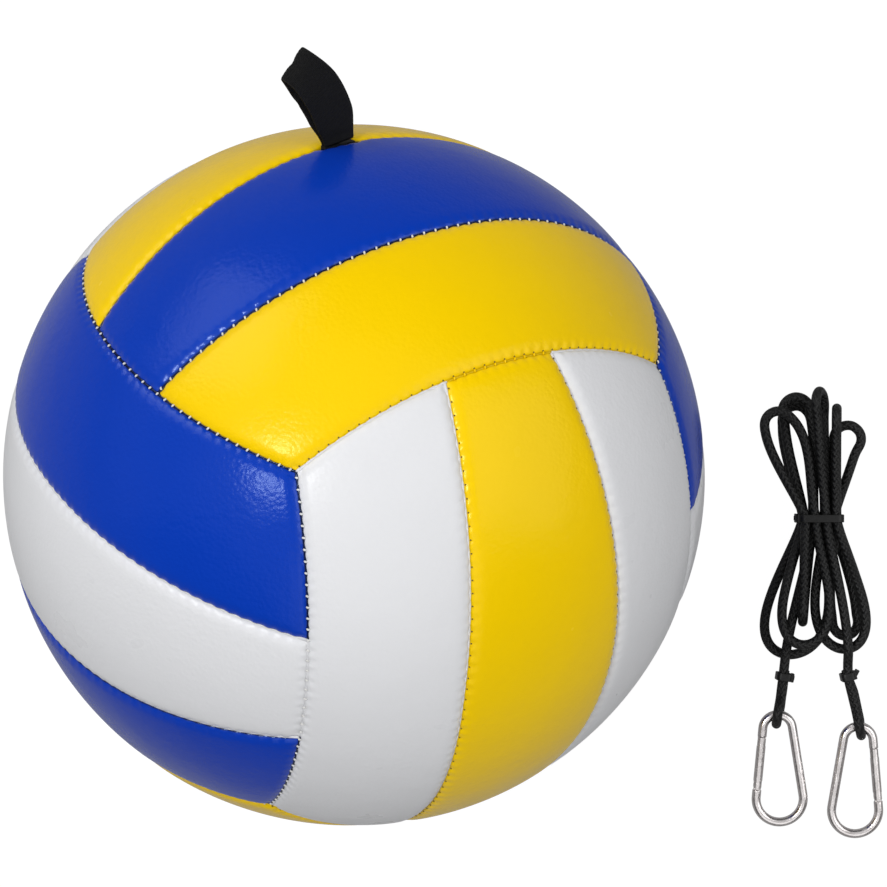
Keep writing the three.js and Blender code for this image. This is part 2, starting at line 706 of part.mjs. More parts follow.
function leadRoute(side) {
  const lead = cord_leads[side];
  const last = leadPoint(lead, 1);
  const out = last.clone().sub(leadPoint(lead, 1 - 1 / lead_steps)).setZ(0).normalize();
  const start = last.addScaledVector(out, cord_diameter + fit_gap).add(hank.position);
  const { run: runLength, run_degrees: runDegrees, aside, tied_aside: tiedAside } = cord_ends[side];
  const ahead = Y.clone().negate().applyAxisAngle(Z, radians(runDegrees));
  const run = ahead.clone().multiplyScalar(runLength);
  const eye = start.clone().add(run).setZ(eye_height);
  const eased = (share) => THREE.MathUtils.smoothstep(share, run_shares[1] / 2, run_shares[4]);
  const across = new THREE.Vector3().crossVectors(Z, ahead);
  const onRun = (share, startHeight, endHeight) => start.clone().addScaledVector(run, share)
    .setZ(startHeight + (endHeight - startHeight) * eased(share));
  const sideways = (share) => THREE.MathUtils.smoothstep(1 - share, 0, aside_blend_share)
    * (tiedAside + (aside - tiedAside) * THREE.MathUtils.smoothstep(share, 0, aside_blend_share));
  const route = run_shares.map((share) => onRun(share, start.z, eye_height + eye_radius));
  for (let k = 0; k <= eye_steps; k += 1) {
    const turn = Math.PI * (1 / 2 - k / eye_steps);
    route.push(eye.clone().addScaledVector(ahead, eye_radius * Math.cos(turn))
      .setZ(eye_height + eye_radius * Math.sin(turn)));
  }
  route.push(...back_shares.map((share) => onRun(share, tie_lift, eye_low)
    .addScaledVector(across, sideways(share))));
  route.push(route[route.length - 1].clone().addScaledVector(ahead, -tail_length));
  return { route, start, ahead, across, eye };
}

function ring(halfWidth, halfHeight, thickness, width) {
  const outline = (grow) => {
    const shape = new THREE.Shape();
    const w = halfWidth + grow;
    const h = halfHeight + grow;
    const corner = Math.min(cord_radius, halfWidth / 2) + grow;
    shape.moveTo(w - corner, -h);
    shape.absarc(w - corner, -h + corner, corner, -Math.PI / 2, 0);
    shape.absarc(w - corner, h - corner, corner, 0, Math.PI / 2);
    shape.absarc(-w + corner, h - corner, corner, Math.PI / 2, Math.PI);
    shape.absarc(-w + corner, -h + corner, corner, Math.PI, 3 * Math.PI / 2);
    return shape;
  };
  const band = outline(thickness);
  band.holes.push(outline(0));
  const curve_segments = 4;
  const options = { depth: width, steps: 1, bevelEnabled: false, curveSegments: curve_segments };
  return solid(new THREE.ExtrudeGeometry(band, options).translate(0, 0, -width / 2));
}

// A cable tie: its head stands proud on one side, and its tongue is cut short there or left a little long
function tieGeometry(halfWidth, halfHeight, { side, proud, height, tongue }) {
  const headWidth = proud + tie_thickness / 2;
  const bandFace = side * (halfWidth + tie_thickness);
  const headPlace = bandFace + side * (proud - headWidth / 2);
  const head = solid(box(headWidth, height, tie_head_length, headPlace, 0, 0));
  let body = ring(halfWidth, halfHeight, tie_thickness, tie_width).add(head);
  if (tongue > 0) {
    const length = proud + tongue;
    body = body.add(solid(box(length, tie_thickness, tie_tongue_width, side * length / 2, 0, 0)
      .rotateY(side * radians(tie_tongue_lean_degrees)).translate(bandFace, height / 4, 0)));
  }
  return geometryOf(body);
}

const leadRoutes = { left: leadRoute('left'), right: leadRoute('right') };
for (const side of ['left', 'right']) {
  const { route, start, ahead, across } = leadRoutes[side];
  const path = new THREE.CatmullRomCurve3(route, false, 'centripetal');
  const section = new THREE.Shape();
  for (let k = 0; k < lead_sides; k += 1) {
    const turn = 2 * Math.PI * (k + 1 / 2) / lead_sides;
    section[k === 0 ? 'moveTo' : 'lineTo'](cord_radius * Math.cos(turn), cord_radius * Math.sin(turn));
  }
  const tube_steps = 36;
  part(model, `cord_lead_${side}`, facingOut(plain(new THREE.ExtrudeGeometry(section,
    { steps: tube_steps, bevelEnabled: false, extrudePath: path }))), materials.cord);

  const halfAside = cord_ends[side].tied_aside / 2;
  const place = start.clone().addScaledVector(ahead, -fit_gap / 2).addScaledVector(across, halfAside)
    .setZ(tied_height - strand_pitch / 2);
  const tieHalfWidth = cord_radius + tie_gap + halfAside;
  const tieHalfHeight = strand_pitch / 2 + cord_radius + tie_gap;
  const tieFrame = new THREE.Matrix4().makeBasis(across, Z, ahead).setPosition(place);
  part(model, `tie_${side}`, tieGeometry(tieHalfWidth, tieHalfHeight, tie_heads[side])
    .applyMatrix4(tieFrame), materials.tie);
}

const waist = new THREE.Matrix4().makeBasis(X, Z, Y.clone().negate())
  .setPosition(hank.position.clone().setZ(tie_lift + strand_pitch));
part(model, 'hank_tie', tieGeometry((strand_columns - 1) / 2 * strand_pitch + cord_radius + waist_tie_gap,
  strand_pitch + cord_radius + tie_gap, tie_heads.waist).applyMatrix4(waist), materials.tie);

// Snap hooks, drawn flat with the middle of the small end's wire at the origin and the hook down -Y

const smallRadius = (hook_small_width - hook_wire) / 2;
const largeRadius = (hook_large_width - hook_wire) / 2;
const hookReach = hook_length - hook_wire;
const arcSpan = hookReach - smallRadius - largeRadius;
const flare = Math.asin((largeRadius - smallRadius) / arcSpan);
const sideLength = arcSpan * Math.cos(flare);
const gateSpan = sideLength - hook_nose_drop - hook_hinge_rise;
const shoulderGap = wire_radius + fit_gap;
const tongueHalf = hook_tongue_width / 2;
const slotThickness = hook_tongue + 2 * hook_slot_gap;
const pinHole = hook_pin_radius + hook_pin_gap;
const gateEnd = gateSpan - fit_gap;
const latchPlace = gateEnd - hook_latch_offset;
const hook_sides = 10;
const pin_sides = 12;

function sideNormal(side) {
  return new THREE.Vector3(side * Math.cos(flare), Math.sin(flare), 0);
}

// Frame on the gate's line: X points into the hook, Y from the hinge pin to the nose
function gateFrame(side) {
  const inward = sideNormal(side).negate();
  const ahead = new THREE.Vector3(-side * Math.sin(flare), Math.cos(flare), 0);
  const pin = new THREE.Vector3(0, -hookReach + largeRadius, 0)
    .addScaledVector(sideNormal(side), largeRadius)
    .addScaledVector(ahead, hook_hinge_rise);
  return new THREE.Matrix4()
    .makeBasis(inward, ahead, new THREE.Vector3().crossVectors(inward, ahead)).setPosition(pin);
}

function hookWire(side) {
  const frame = gateFrame(side);
  const onGate = (along) => new THREE.Vector3(0, along, 0).applyMatrix4(frame);
  const centres = [onGate(gateSpan)];
  const arc = (y, radius, from, to, steps) => {
    for (let k = 0; k <= steps; k += 1) {
      const turn = from + (to - from) * k / steps;
      centres.push(new THREE.Vector3(side * radius * Math.cos(turn), y + radius * Math.sin(turn), 0));
    }
  };
  const small_steps = 11;
  const large_steps = 12;
  arc(-smallRadius, smallRadius, flare, Math.PI - flare, small_steps);
  arc(-hookReach + largeRadius, largeRadius, Math.PI - flare, 2 * Math.PI + flare, large_steps);
  centres.push(onGate(-shoulderGap));
  return solid(roundTube(centres, wire_radius, hook_sides));
}

function disc(radius, height, along) {
  return solid(cylinder(radius, height, Z, pin_sides).translate(0, along, 0));
}

function slotBox(fromAlong, toAlong, width, thickness, middle) {
  return solid(box(width, toAlong - fromAlong, thickness, middle, (fromAlong + toAlong) / 2, 0));
}

function placed(body, frame) {
  return geometryOf(body).applyMatrix4(frame);
}

// The body's wire ends in two flat tongues: one carries the hinge pin, the other catches the latch pin
function hookBodyGeometry(side) {
  const frame = gateFrame(side);
  const tipReach = pinHole + hook_tongue / 2;
  const hinge = slotBox(-shoulderGap - cut_overrun, 0, hook_tongue_width, hook_tongue, 0)
    .add(disc(tongueHalf, hook_tongue, 0))
    .subtract(disc(pinHole, hook_wire, 0));
  const noseWidth = 2 * (wire_radius - fit_gap);
  const nose = slotBox(latchPlace - tipReach, gateSpan + cut_overrun, noseWidth, hook_tongue, 0)
    .subtract(disc(pinHole, hook_wire, latchPlace))
    .subtract(slotBox(latchPlace - pinHole, latchPlace + pinHole, hook_wire, hook_wire, wire_radius));
  return geometryOf(hookWire(side).add(solid(placed(hinge, frame))).add(solid(placed(nose, frame))));
}

function gateGeometry(side) {
  const bore = spring_radius + spring_wire / 2 + spring_bore_gap;
  const slotRoot = tongueHalf + hook_slot_gap * 2;
  const tube = (from, to) => solid(cylinder(wire_radius, to - from, Y, hook_sides)
    .rotateY(Math.PI / hook_sides).translate(0, (from + to) / 2, 0));
  const body = tube(0, gateEnd)
    .add(tube(-wire_radius, wire_radius).intersect(disc(wire_radius, hook_wire, 0)))
    .subtract(slotBox(-hook_wire, slotRoot, 2 * hook_wire, slotThickness, 0))
    .subtract(slotBox(latchPlace - hook_slot_depth, gateEnd + cut_overrun, 2 * hook_wire, slotThickness, 0))
    .subtract(disc(pinHole, 2 * hook_wire, 0))
    .subtract(disc(pinHole, 2 * hook_wire, latchPlace))
    .subtract(solid(cylinder(bore, spring_length + 2 * spring_bore_gap, Y, pin_sides)
      .translate(0, slotRoot + spring_length / 2, 0)));
  return placed(body, gateFrame(side));
}

function springGeometry(side) {
  const steps_per_turn = 6;
  const spring_sides = 4;
  const low = tongueHalf + hook_slot_gap * 2 + spring_wire;
  const centres = [];
  for (let k = 0; k <= spring_turns * steps_per_turn; k += 1) {
    const turn = 2 * Math.PI * k / steps_per_turn;
    const along = low + (spring_length - 2 * spring_wire) * k / (spring_turns * steps_per_turn);
    centres.push(new THREE.Vector3(spring_radius * Math.cos(turn), along, spring_radius * Math.sin(turn)));
  }
  return roundTube(centres, spring_wire / 2, spring_sides).applyMatrix4(gateFrame(side));
}

const hooks = {
  left: { turn_degrees: 2.3, gate_side: -1 },
  right: { turn_degrees: -1.8, gate_side: 1 },
};
const hookTilt = Math.asin((eye_height - wire_radius - hook_floor_gap) / hookReach);
for (const side of ['left', 'right']) {
  const hook = new THREE.Group();
  hook.position.copy(leadRoutes[side].eye);
  hook.rotation.set(hookTilt, 0, radians(hooks[side].turn_degrees), 'ZXY');
  model.add(hook);
  const gate = hooks[side].gate_side;
  const pin = (along) => placed(disc(hook_pin_radius, hook_wire - hook_pin_gap, along), gateFrame(gate));
  part(hook, `hook_${side}_body`, hookBodyGeometry(gate), materials.steel);
  part(hook, `hook_${side}_gate`, gateGeometry(gate), materials.steel);
  part(hook, `hook_${side}_hinge_pin`, pin(0), materials.steel);
  part(hook, `hook_${side}_latch_pin`, pin(latchPlace), materials.steel);
  part(hook, `hook_${side}_gate_spring`, springGeometry(gate), materials.steel);
}

export default model;
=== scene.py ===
import math
from collections import namedtuple
from itertools import product

import bpy
import numpy as np
from mathutils import Matrix


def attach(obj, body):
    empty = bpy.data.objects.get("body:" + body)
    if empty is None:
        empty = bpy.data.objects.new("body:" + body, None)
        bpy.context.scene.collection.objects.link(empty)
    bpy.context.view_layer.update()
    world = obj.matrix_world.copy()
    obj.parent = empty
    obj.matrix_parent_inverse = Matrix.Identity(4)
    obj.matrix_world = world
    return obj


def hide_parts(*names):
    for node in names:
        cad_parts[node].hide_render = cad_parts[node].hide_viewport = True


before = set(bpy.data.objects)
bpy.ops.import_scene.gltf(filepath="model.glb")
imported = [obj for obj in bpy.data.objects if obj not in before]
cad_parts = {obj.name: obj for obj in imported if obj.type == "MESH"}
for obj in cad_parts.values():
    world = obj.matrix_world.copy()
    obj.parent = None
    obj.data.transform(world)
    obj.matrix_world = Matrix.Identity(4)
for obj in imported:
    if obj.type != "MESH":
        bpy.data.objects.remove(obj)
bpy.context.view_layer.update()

# All sizes are in millimetres until a mesh is made. They repeat those of the CAD source.
MM = 0.001
EX, EY, EZ = np.eye(3)


def unit(v):
    return v / np.linalg.norm(v, axis=-1, keepdims=True)


def smoothstep(x, low, high):
    t = np.clip((x - low) / (high - low), 0, 1)
    return t * t * (3 - 2 * t)


def walked_along(path):
    return np.concatenate([[0], np.cumsum(np.linalg.norm(np.diff(path, axis=0), axis=1))])


def spaced(path, step):
    """The same line with evenly spaced points."""
    walked = walked_along(path)
    at = np.linspace(0, walked[-1], int(round(walked[-1] / step)) + 1)
    return np.stack([np.interp(at, walked, path[:, k]) for k in range(3)], axis=1)


def moved(points, matrix):
    matrix = np.asarray(matrix, float)
    return np.asarray(points, float) @ matrix[:3, :3].T + matrix[:3, 3]


def basis(x, y, z, place):
    matrix = np.eye(4)
    matrix[:3] = np.column_stack([x, y, z, place])
    return matrix


def placed(name, data):
    thing = bpy.data.objects.new(name, data)
    bpy.context.scene.collection.objects.link(thing)
    return thing


# Camera, as solved from the photograph
sensor_width, focal_pixels, photo_pixels = 36, 3032, 887
camera_data = bpy.data.cameras.new("camera")
camera_data.sensor_width = sensor_width
camera_data.lens = focal_pixels / photo_pixels * sensor_width
camera = placed("camera", camera_data)
camera.location = (0.0266, 0.0094, 1.0182)
bpy.context.scene.camera = camera
bpy.context.scene.view_settings.view_transform = "Standard"


# Meshes


def mesh_of(name, points, faces):
    mesh = bpy.data.meshes.new(name)
    mesh.from_pydata(np.asarray(points, float).tolist(), [], [list(map(int, face)) for face in faces])
    return mesh


def make(name, shape, material, body, replaces=(), edge=None, smooth=True):
    """A piece from a shape in mm: points, faces and, if it has them, uvs, one pair for each face corner."""
    points, faces, *uvs = shape
    mesh = mesh_of(name, np.asarray(points, float) * MM, faces)
    mesh.polygons.foreach_set("use_smooth", [smooth] * len(mesh.polygons))
    if uvs:
        mesh.uv_layers.new(name="uv").data.foreach_set("uv", np.asarray(uvs[0], np.float32).ravel())
    if edge is not None:
        mesh.attributes.new("edge", "FLOAT", "POINT").data.foreach_set("value", np.asarray(edge, np.float32))
    mesh.materials.append(material)
    mesh.update()
    piece = placed(name, mesh)
    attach(piece, body)
    if replaces:
        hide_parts(*replaces)
    return piece


def grid_quads(rows, columns, wrap=False):
    """Corner indices of a grid's quads, and the row and column of each corner with the wrap left open."""
    i, k = (index.ravel()[:, None] for index in np.mgrid[:rows - 1, :columns - 1 + wrap])
    corner_rows, corner_columns = i + [0, 0, 1, 1], k + [0, 1, 1, 0]
    return corner_rows * columns + corner_columns % columns, corner_rows, corner_columns


def ring_caps(rows, columns):
    """The first and the last ring of a wrapped grid, as two faces."""
    last = (rows - 1) * columns
    return [list(range(columns))[::-1], list(range(last, last + columns))]


def path_frames(path):
    """Normal, side and tangent of a path, with as little twist as it allows."""
    tangent = unit(np.gradient(path, axis=0))
    first = np.cross(tangent[0], EX)
    normal = np.zeros_like(path)
    normal[0] = unit(first if np.linalg.norm(first) > 0.1 else np.cross(tangent[0], EY))
    for i in range(1, len(path)):
        normal[i] = unit(normal[i - 1] - tangent[i] * (normal[i - 1] @ tangent[i]))
    return normal, np.cross(tangent, normal), tangent


def tube(path, radius, sides, rounded_end=0.0):
    """A round tube. Its uv is the length along it in mm, and the share round it."""
    normal, side, tangent = path_frames(path)
    radii = np.broadcast_to(radius, len(path)).astype(float)
    if rounded_end > 0:
        steps = np.array([0.35, 0.7, 0.92, 1.0])
        ahead = rounded_end * steps[:, None]
        shrink = rounded_end * (1 - np.sqrt(1 - steps ** 2))
        path = np.vstack([path[0] - ahead[::-1] * tangent[0], path, path[-1] + ahead * tangent[-1]])
        radii = np.concatenate([radii[0] - shrink[::-1], radii, radii[-1] - shrink])
        normal, side = (np.pad(v, ((len(steps), len(steps)), (0, 0)), "edge") for v in (normal, side))
    turn = (2 * np.pi * np.arange(sides) / sides)[:, None]
    points = path[:, None] + radii[:, None, None] * (
        np.cos(turn) * normal[:, None] + np.sin(turn) * side[:, None])
    quads, rows, columns = grid_quads(len(path), sides, wrap=True)
    uvs = np.stack([walked_along(path)[rows], columns / sides], axis=-1).reshape(-1, 2)
    faces = quads.tolist() + ring_caps(len(path), sides)
    return points.reshape(-1, 3), faces, np.concatenate([uvs, np.zeros((2 * sides, 2))])


def joined(shapes):
    """One shape from several, without their uvs."""
    points, faces, offset = [], [], 0
    for shape in shapes:
        points.append(np.asarray(shape[0], float))
        faces += [[offset + i for i in face] for face in shape[1]]
        offset += len(shape[0])
    return np.vstack(points), faces


def carried(shape, matrix):
    """The shape moved by a matrix, without its uvs."""
    return moved(shape[0], matrix), shape[1]


# Materials


class Painter:
    """The nodes of a material or a world, added one call at a time."""

    def __init__(self, owner):
        owner.use_nodes = True
        self.owner, self.tree = owner, owner.node_tree

    def add(self, kind, inputs=None, **settings):
        node = self.tree.nodes.new("ShaderNode" + kind)
        for key, value in settings.items():
            setattr(node, key, value)
        for key, value in (inputs or {}).items():
            self.put(node.inputs[key], value)
        return node

    def put(self, socket, value):
        if isinstance(value, bpy.types.NodeSocket):
            self.tree.links.new(value, socket)
        else:
            socket.default_value = value

    def set(self, **values):
        for key, value in values.items():
            self.put(self.tree.nodes["Principled BSDF"].inputs[key.replace("_", " ")], value)

    def math(self, operation, a, b=0.0, c=0.0):
        return self.add("Math", {0: a, 1: b, 2: c}, operation=operation).outputs[0]

    def ramp(self, value, *stops):
        """A colour ramp from pairs of place and colour."""
        node = self.add("ValToRGB", {"Fac": value})
        elements = node.color_ramp.elements
        while len(elements) < len(stops):
            elements.new(0.5)
        for element, (place, colour) in zip(elements, stops):
            element.position = place
            element.color = (*colour, 1)
        return node.outputs["Color"]

    def mix(self, factor, a, b, blend="MIX"):
        node = self.add("Mix", data_type="RGBA", blend_type=blend)
        for socket, value in ((node.inputs[0], factor), (node.inputs[6], a), (node.inputs[7], b)):
            self.put(socket, value)
        return node.outputs[2]

    def bump(self, height, distance, strength=1.0, below=None):
        inputs = {"Height": height, "Distance": distance, "Strength": strength}
        if below is not None:
            inputs["Normal"] = below
        return self.add("Bump", inputs).outputs[0]

    def place(self):
        return self.add("TexCoord").outputs["Object"]

    def length_and_width(self):
        """The uv in mm, as two sockets."""
        uv = self.add("UVMap", uv_map="uv").outputs["UV"]
        parts = self.add("SeparateXYZ", {"Vector": uv}).outputs
        return parts["X"], parts["Y"]

    def noise(self, scale, detail=3.0, where=None, roughness=0.5):
        inputs = {"Vector": where or self.place(), "Scale": scale, "Detail": detail, "Roughness": roughness}
        return self.add("TexNoise", inputs).outputs[0]


def painter(name):
    return Painter(bpy.data.materials.new(name))


def grey(level):
    return (level, level, level)


def leather(name, colour, seam_shade_level, gloss, gloss_level, rim_gloss, roughness):
    """Pebbled synthetic leather with fine creases, with painted shade darkening the rim where a panel turns
    into its seam.
    """
    p = painter(name)
    place = p.place()
    pebbles = p.add("TexVoronoi", {"Vector": place, "Scale": 820.0, "Smoothness": 0.35, "Randomness": 1.0},
                    feature="SMOOTH_F1").outputs["Distance"]
    grain = p.noise(2600.0, 2.0, place)
    cells = p.add("TexVoronoi", {"Vector": place, "Scale": 260.0}, feature="DISTANCE_TO_EDGE")
    crease = p.math("SMOOTH_MIN", cells.outputs["Distance"], 0.05, 0.03)
    waves = p.noise(95.0, 3.0, place, 0.6)
    height = p.math("MULTIPLY_ADD", pebbles, -0.55, p.math("MULTIPLY", grain, 0.3))
    normal = p.bump(height, 0.00011, 0.8)
    normal = p.bump(crease, 0.0003, 0.2, normal)
    normal = p.bump(waves, 0.0007, 0.3, normal)
    edge = p.add("Attribute", attribute_name="edge").outputs["Fac"]
    # Painted shade: the colour darkens over the half millimetre next to a panel's edge, where the rim turns
    # into the seam.
    rim = p.ramp(p.math("MULTIPLY", edge, 0.5), (0.06, grey(seam_shade_level)), (0.26, grey(1.0)))
    tint = p.ramp(p.noise(38.0, 4.0, place), (0.3, grey(0.985)), (0.7, grey(1.0)))
    base = p.mix(1.0, p.mix(1.0, (*colour, 1), tint, "MULTIPLY"), rim, "MULTIPLY")
    rough = p.math("MULTIPLY_ADD", p.noise(60.0, 3.0, place), 0.16, roughness - 0.08)
    shine = p.ramp(p.math("MULTIPLY", edge, 0.25), (0.15, grey(rim_gloss)), (0.6, grey(gloss_level)))
    p.set(Base_Color=base, Roughness=rough, Normal=normal, Specular_IOR_Level=shine,
          Specular_Tint=(*gloss, 1))
    return p.owner


def fine_grained(name, scale, detail, dark, light, rough, uneven=0.0, bump=0.0, **settings):
    """A material whose colour, roughness and bump follow one fine noise."""
    p = painter(name)
    grain = p.noise(scale, detail)
    if uneven:
        rough = p.math("MULTIPLY_ADD", grain, uneven, rough)
    if bump:
        settings["Normal"] = p.bump(grain, bump)
    p.set(Base_Color=p.ramp(grain, (0.3, dark), (0.7, light)), Roughness=rough, **settings)
    return p.owner


def cloth_material():
    p = painter("carcass_cloth")
    weave = p.add("TexWave", {"Vector": p.place(), "Scale": 420.0, "Distortion": 1.5}).outputs["Fac"]
    p.set(Base_Color=p.ramp(weave, (0.0, (0.42, 0.38, 0.29)), (1.0, (0.72, 0.68, 0.57))), Roughness=0.9,
          Normal=p.bump(weave, 0.0003))
    return p.owner


def webbing_material():
    """Black webbing whose fine yarns run along the band, with painted shade between the yarns and painted
    sheen on their crowns.
    """
    p = painter("webbing")
    yarn_pitch = 0.42
    _, width = p.length_and_width()
    yarn = p.math("SINE", p.math("MULTIPLY", width, 2 * math.pi / yarn_pitch))
    height = p.math("MULTIPLY_ADD", yarn, 0.35, p.noise(4200.0, 2.0))
    # Painted shade and sheen: the colour follows the yarn height, darker between yarns and lighter on their
    # crowns, with random fibre tone mixed in.
    shade = p.ramp(height, (0.3, grey(0.001)), (0.9, grey(0.010)))
    p.set(Base_Color=shade, Roughness=0.6, Normal=p.bump(height, 0.0002), Specular_IOR_Level=0.22)
    return p.owner


def cord_material():
    """Braided cover: two sets of strands cross over and under each other round the cord."""
    p = painter("elastic_cord")
    strands, pitch = 6.0, 2.1
    length, round_share = p.length_and_width()
    along = p.math("DIVIDE", length, pitch)
    round_it = p.math("MULTIPLY", round_share, strands)
    right = p.math("ADD", round_it, along)
    left = p.math("SUBTRACT", round_it, along)
    over = p.math("MODULO", p.math("ADD", p.math("FLOOR", right), p.math("FLOOR", left)), 2.0)
    over = p.math("ABSOLUTE", over)
    crowns = [p.math("ABSOLUTE", p.math("SINE", p.math("MULTIPLY", turn, math.pi))) for turn in (right, left)]
    strand = p.math("ADD", p.math("MULTIPLY", crowns[0], over),
                    p.math("MULTIPLY", crowns[1], p.math("SUBTRACT", 1.0, over)))
    fibres = p.noise(5200.0, 2.0)
    height = p.math("MULTIPLY_ADD", fibres, 0.3, strand)
    # Painted sheen and shade: the colour is lighter on the strand crowns and darker between and under them,
    # with random fibre tone mixed in.
    shade = p.ramp(p.math("MULTIPLY_ADD", fibres, 0.4, p.math("MULTIPLY", strand, 0.6)),
                   (0.2, grey(0.001)), (0.85, grey(0.009)))
    p.set(Base_Color=shade, Roughness=0.45, Normal=p.bump(height, 0.00022), Specular_IOR_Level=0.3)
    return p.owner


def zinc_material():
    """Plated steel wire: fine pits, soft cloudy patches and a rounded look at every edge."""
    p = painter("zinc_steel")
    place = p.place()
    cloud = p.noise(230.0, 4.0, place, 0.6)
    rounded = p.add("Bevel", {"Radius": 0.00016}, samples=6).outputs[0]
    normal = p.bump(p.noise(2100.0, 3.0, place), 0.00004, 0.6, rounded)
    normal = p.bump(cloud, 0.00035, 0.3, normal)
    shade = p.ramp(cloud, (0.3, (0.64, 0.60, 0.595)), (0.7, (0.80, 0.765, 0.76)))
    p.set(Base_Color=shade, Metallic=1.0, Roughness=p.math("MULTIPLY_ADD", cloud, 0.22, 0.12), Normal=normal)
    return p.owner


# The third value of each leather is its painted seam shade at a panel's edge: near black for blue, milder for
# yellow and white.
leathers = {
    "yellow": leather("yellow_leather", (0.872, 0.575, 0.0), 0.72, (1.0, 0.9, 0.45), 0.24, 0.4, 0.24),
    "blue": leather("blue_leather", (0.002, 0.038, 0.405), 0.08, (0.55, 0.72, 1.0), 0.18, 0.5, 0.225),
    "white": leather("white_leather", (0.715, 0.72, 0.74), 0.95, (1.0, 1.0, 1.0), 0.2, 0.3, 0.3),
}
thread = fine_grained("sewing_thread", 5200.0, 2.0, (0.56, 0.56, 0.54), (0.82, 0.82, 0.80), 0.62,
                      bump=0.00008, Sheen_Weight=0.25)
# Painted shade: the needle holes are small dots in a dark brown that stands in for the shade inside each
# hole.
hole_shade = fine_grained("thread_holes", 3000.0, 3.0, (0.09, 0.055, 0.01), (0.16, 0.10, 0.02), 0.9)
bladder_rubber = fine_grained("bladder_rubber", 1400.0, 4.0, (0.024, 0.0224, 0.0208), (0.03, 0.028, 0.026),
                              0.45, uneven=0.2, bump=0.0001)
tie_nylon = fine_grained("tie_nylon", 900.0, 3.0, grey(0.003), grey(0.007), 0.33,
                         uneven=0.15, bump=0.00006, Specular_IOR_Level=0.3)
carcass_cloth, webbing = cloth_material(), webbing_material()
cord_cover, zinc = cord_material(), zinc_material()


# Cord: the route of the hank and of its two ends

cord_diameter = 3.2
cord_radius = cord_diameter / 2
strand_pitch, column_pitch = 3.78, 3.42
hank_place = np.array([152.1, -15.5, 0])
hank_settle, hank_settle_end = 1.05, 14
tie_thickness, tie_gap, fit_gap = 0.8, 0.3, 0.35
tie_lift = tie_thickness + tie_gap + cord_radius + tie_gap / 2
tied_height = tie_lift + strand_pitch
wire_radius = 1.5
hook_floor_gap = 0.05

Loop = namedtuple("Loop", "start end up reach tip half climb window stand")
cord_loops = [
    Loop("b1", "a1", 1, 41.3, -8.2, 3.6, (0.2, -0.3), (7, 26), 0.8),
    Loop("a1", "b2", -1, 42.1, -5.7, 7, (4.7, 0.7), (7, 26), 0.4),
    Loop("b2", "a2", 1, 35.7, -14.7, 5.3, (-0.1, 0), (9, 28), 0.8),
    Loop("a2", "b0", -1, 36.3, -5.8, -0.3, (-0.1, 1.9), (7, 35), 0.9),
    Loop("b0", "a0", 1, 37.9, -7.6, 4.4, (0.6, 0.4), (8, 28), -1.3),
    Loop("a0", "c0", -1, 45.9, -9.4, 8.7, (1, 0.3), (8, 28), -1.3),
    Loop("c0", "d0", 1, 32.2, 11.2, 2.8, (0.6, 0.6), (7, 27), -1.5),
    Loop("d0", "d1", -1, 40.1, 9.3, 4.4, (0.2, -0.4), (1, 25), 0.5),
    Loop("d1", "d2", 1, 38.4, 5.4, 0.4, (1.4, 0.2), (8, 27), 2),
    Loop("d2", "c1", -1, 43.8, 8.5, 7.5, (-4, 0), (9, 24), 0.1),
    Loop("c1", "c2", 1, 43.8, -0.3, 1.4, (-0.3, 0.5), (7, 27), 1.6),
]
Lead = namedtuple("Lead", "strand end crossing sway run run_degrees aside tied_aside")
cord_leads = {
    "left": Lead("b1", (-11.8, -49.6), 6.2, -0.1, 12.7, -8.27, 0.9, 0.7),
    "right": Lead("c2", (9.4, -49.6), 10, 1, 16.89, 13.08, 1.3, 0.3),
}
lead_steps = 24


def waist_strand(name):
    column = ord(name[0]) - ord("a")
    return (column - 1.5) * column_pitch, tie_lift + int(name[1]) * strand_pitch


def teardrop(turn):
    crest = math.sin(2 * math.pi / 3) * math.sin(math.pi / 3) ** 2
    return np.sin(2 * turn) * np.sin(turn) ** 2 / crest


def settled(reach):
    return hank_settle * smoothstep(reach, 0, hank_settle_end)


def loop_points(loop, share):
    turn = np.pi * share
    rise = np.sin(turn) ** 2
    (start_across, start_height), (end_across, end_height) = waist_strand(loop.start), waist_strand(loop.end)
    reach = loop.reach * rise
    climbed = smoothstep(reach, *loop.window)
    side_blend = 0.9
    high_start = smoothstep(np.cos(turn), -side_blend, side_blend)
    sideways = np.sign(start_across - end_across) or 1
    upward = np.sign(start_height - end_height)
    start_level, end_level = start_height + loop.climb[0] * climbed, end_height + loop.climb[1] * climbed
    return np.stack([
        end_across + (start_across - end_across) * (1 + np.cos(turn)) / 2
        + (loop.tip - (start_across + end_across) / 2) * rise + loop.half * sideways * teardrop(turn),
        loop.up * reach,
        end_level + (start_level - end_level) * high_start
        + loop.stand * (upward * teardrop(turn) + rise / 2) - settled(reach),
    ], axis=1)


def lead_points(lead, share):
    across, height = waist_strand(lead.strand)
    end_across, end_along = lead.end
    ease = smoothstep(share, 0, 1)
    return np.stack([
        across + (end_across - across) * (share + ease) / 2 + lead.sway * np.sin(np.pi * share),
        end_along * share,
        height - settled(-end_along * share)
        + (lead.crossing - height + hank_settle) * smoothstep(share, 0, 0.75)
        + (tied_height - lead.crossing) * smoothstep(share, 0.86, 1),
    ], axis=1)


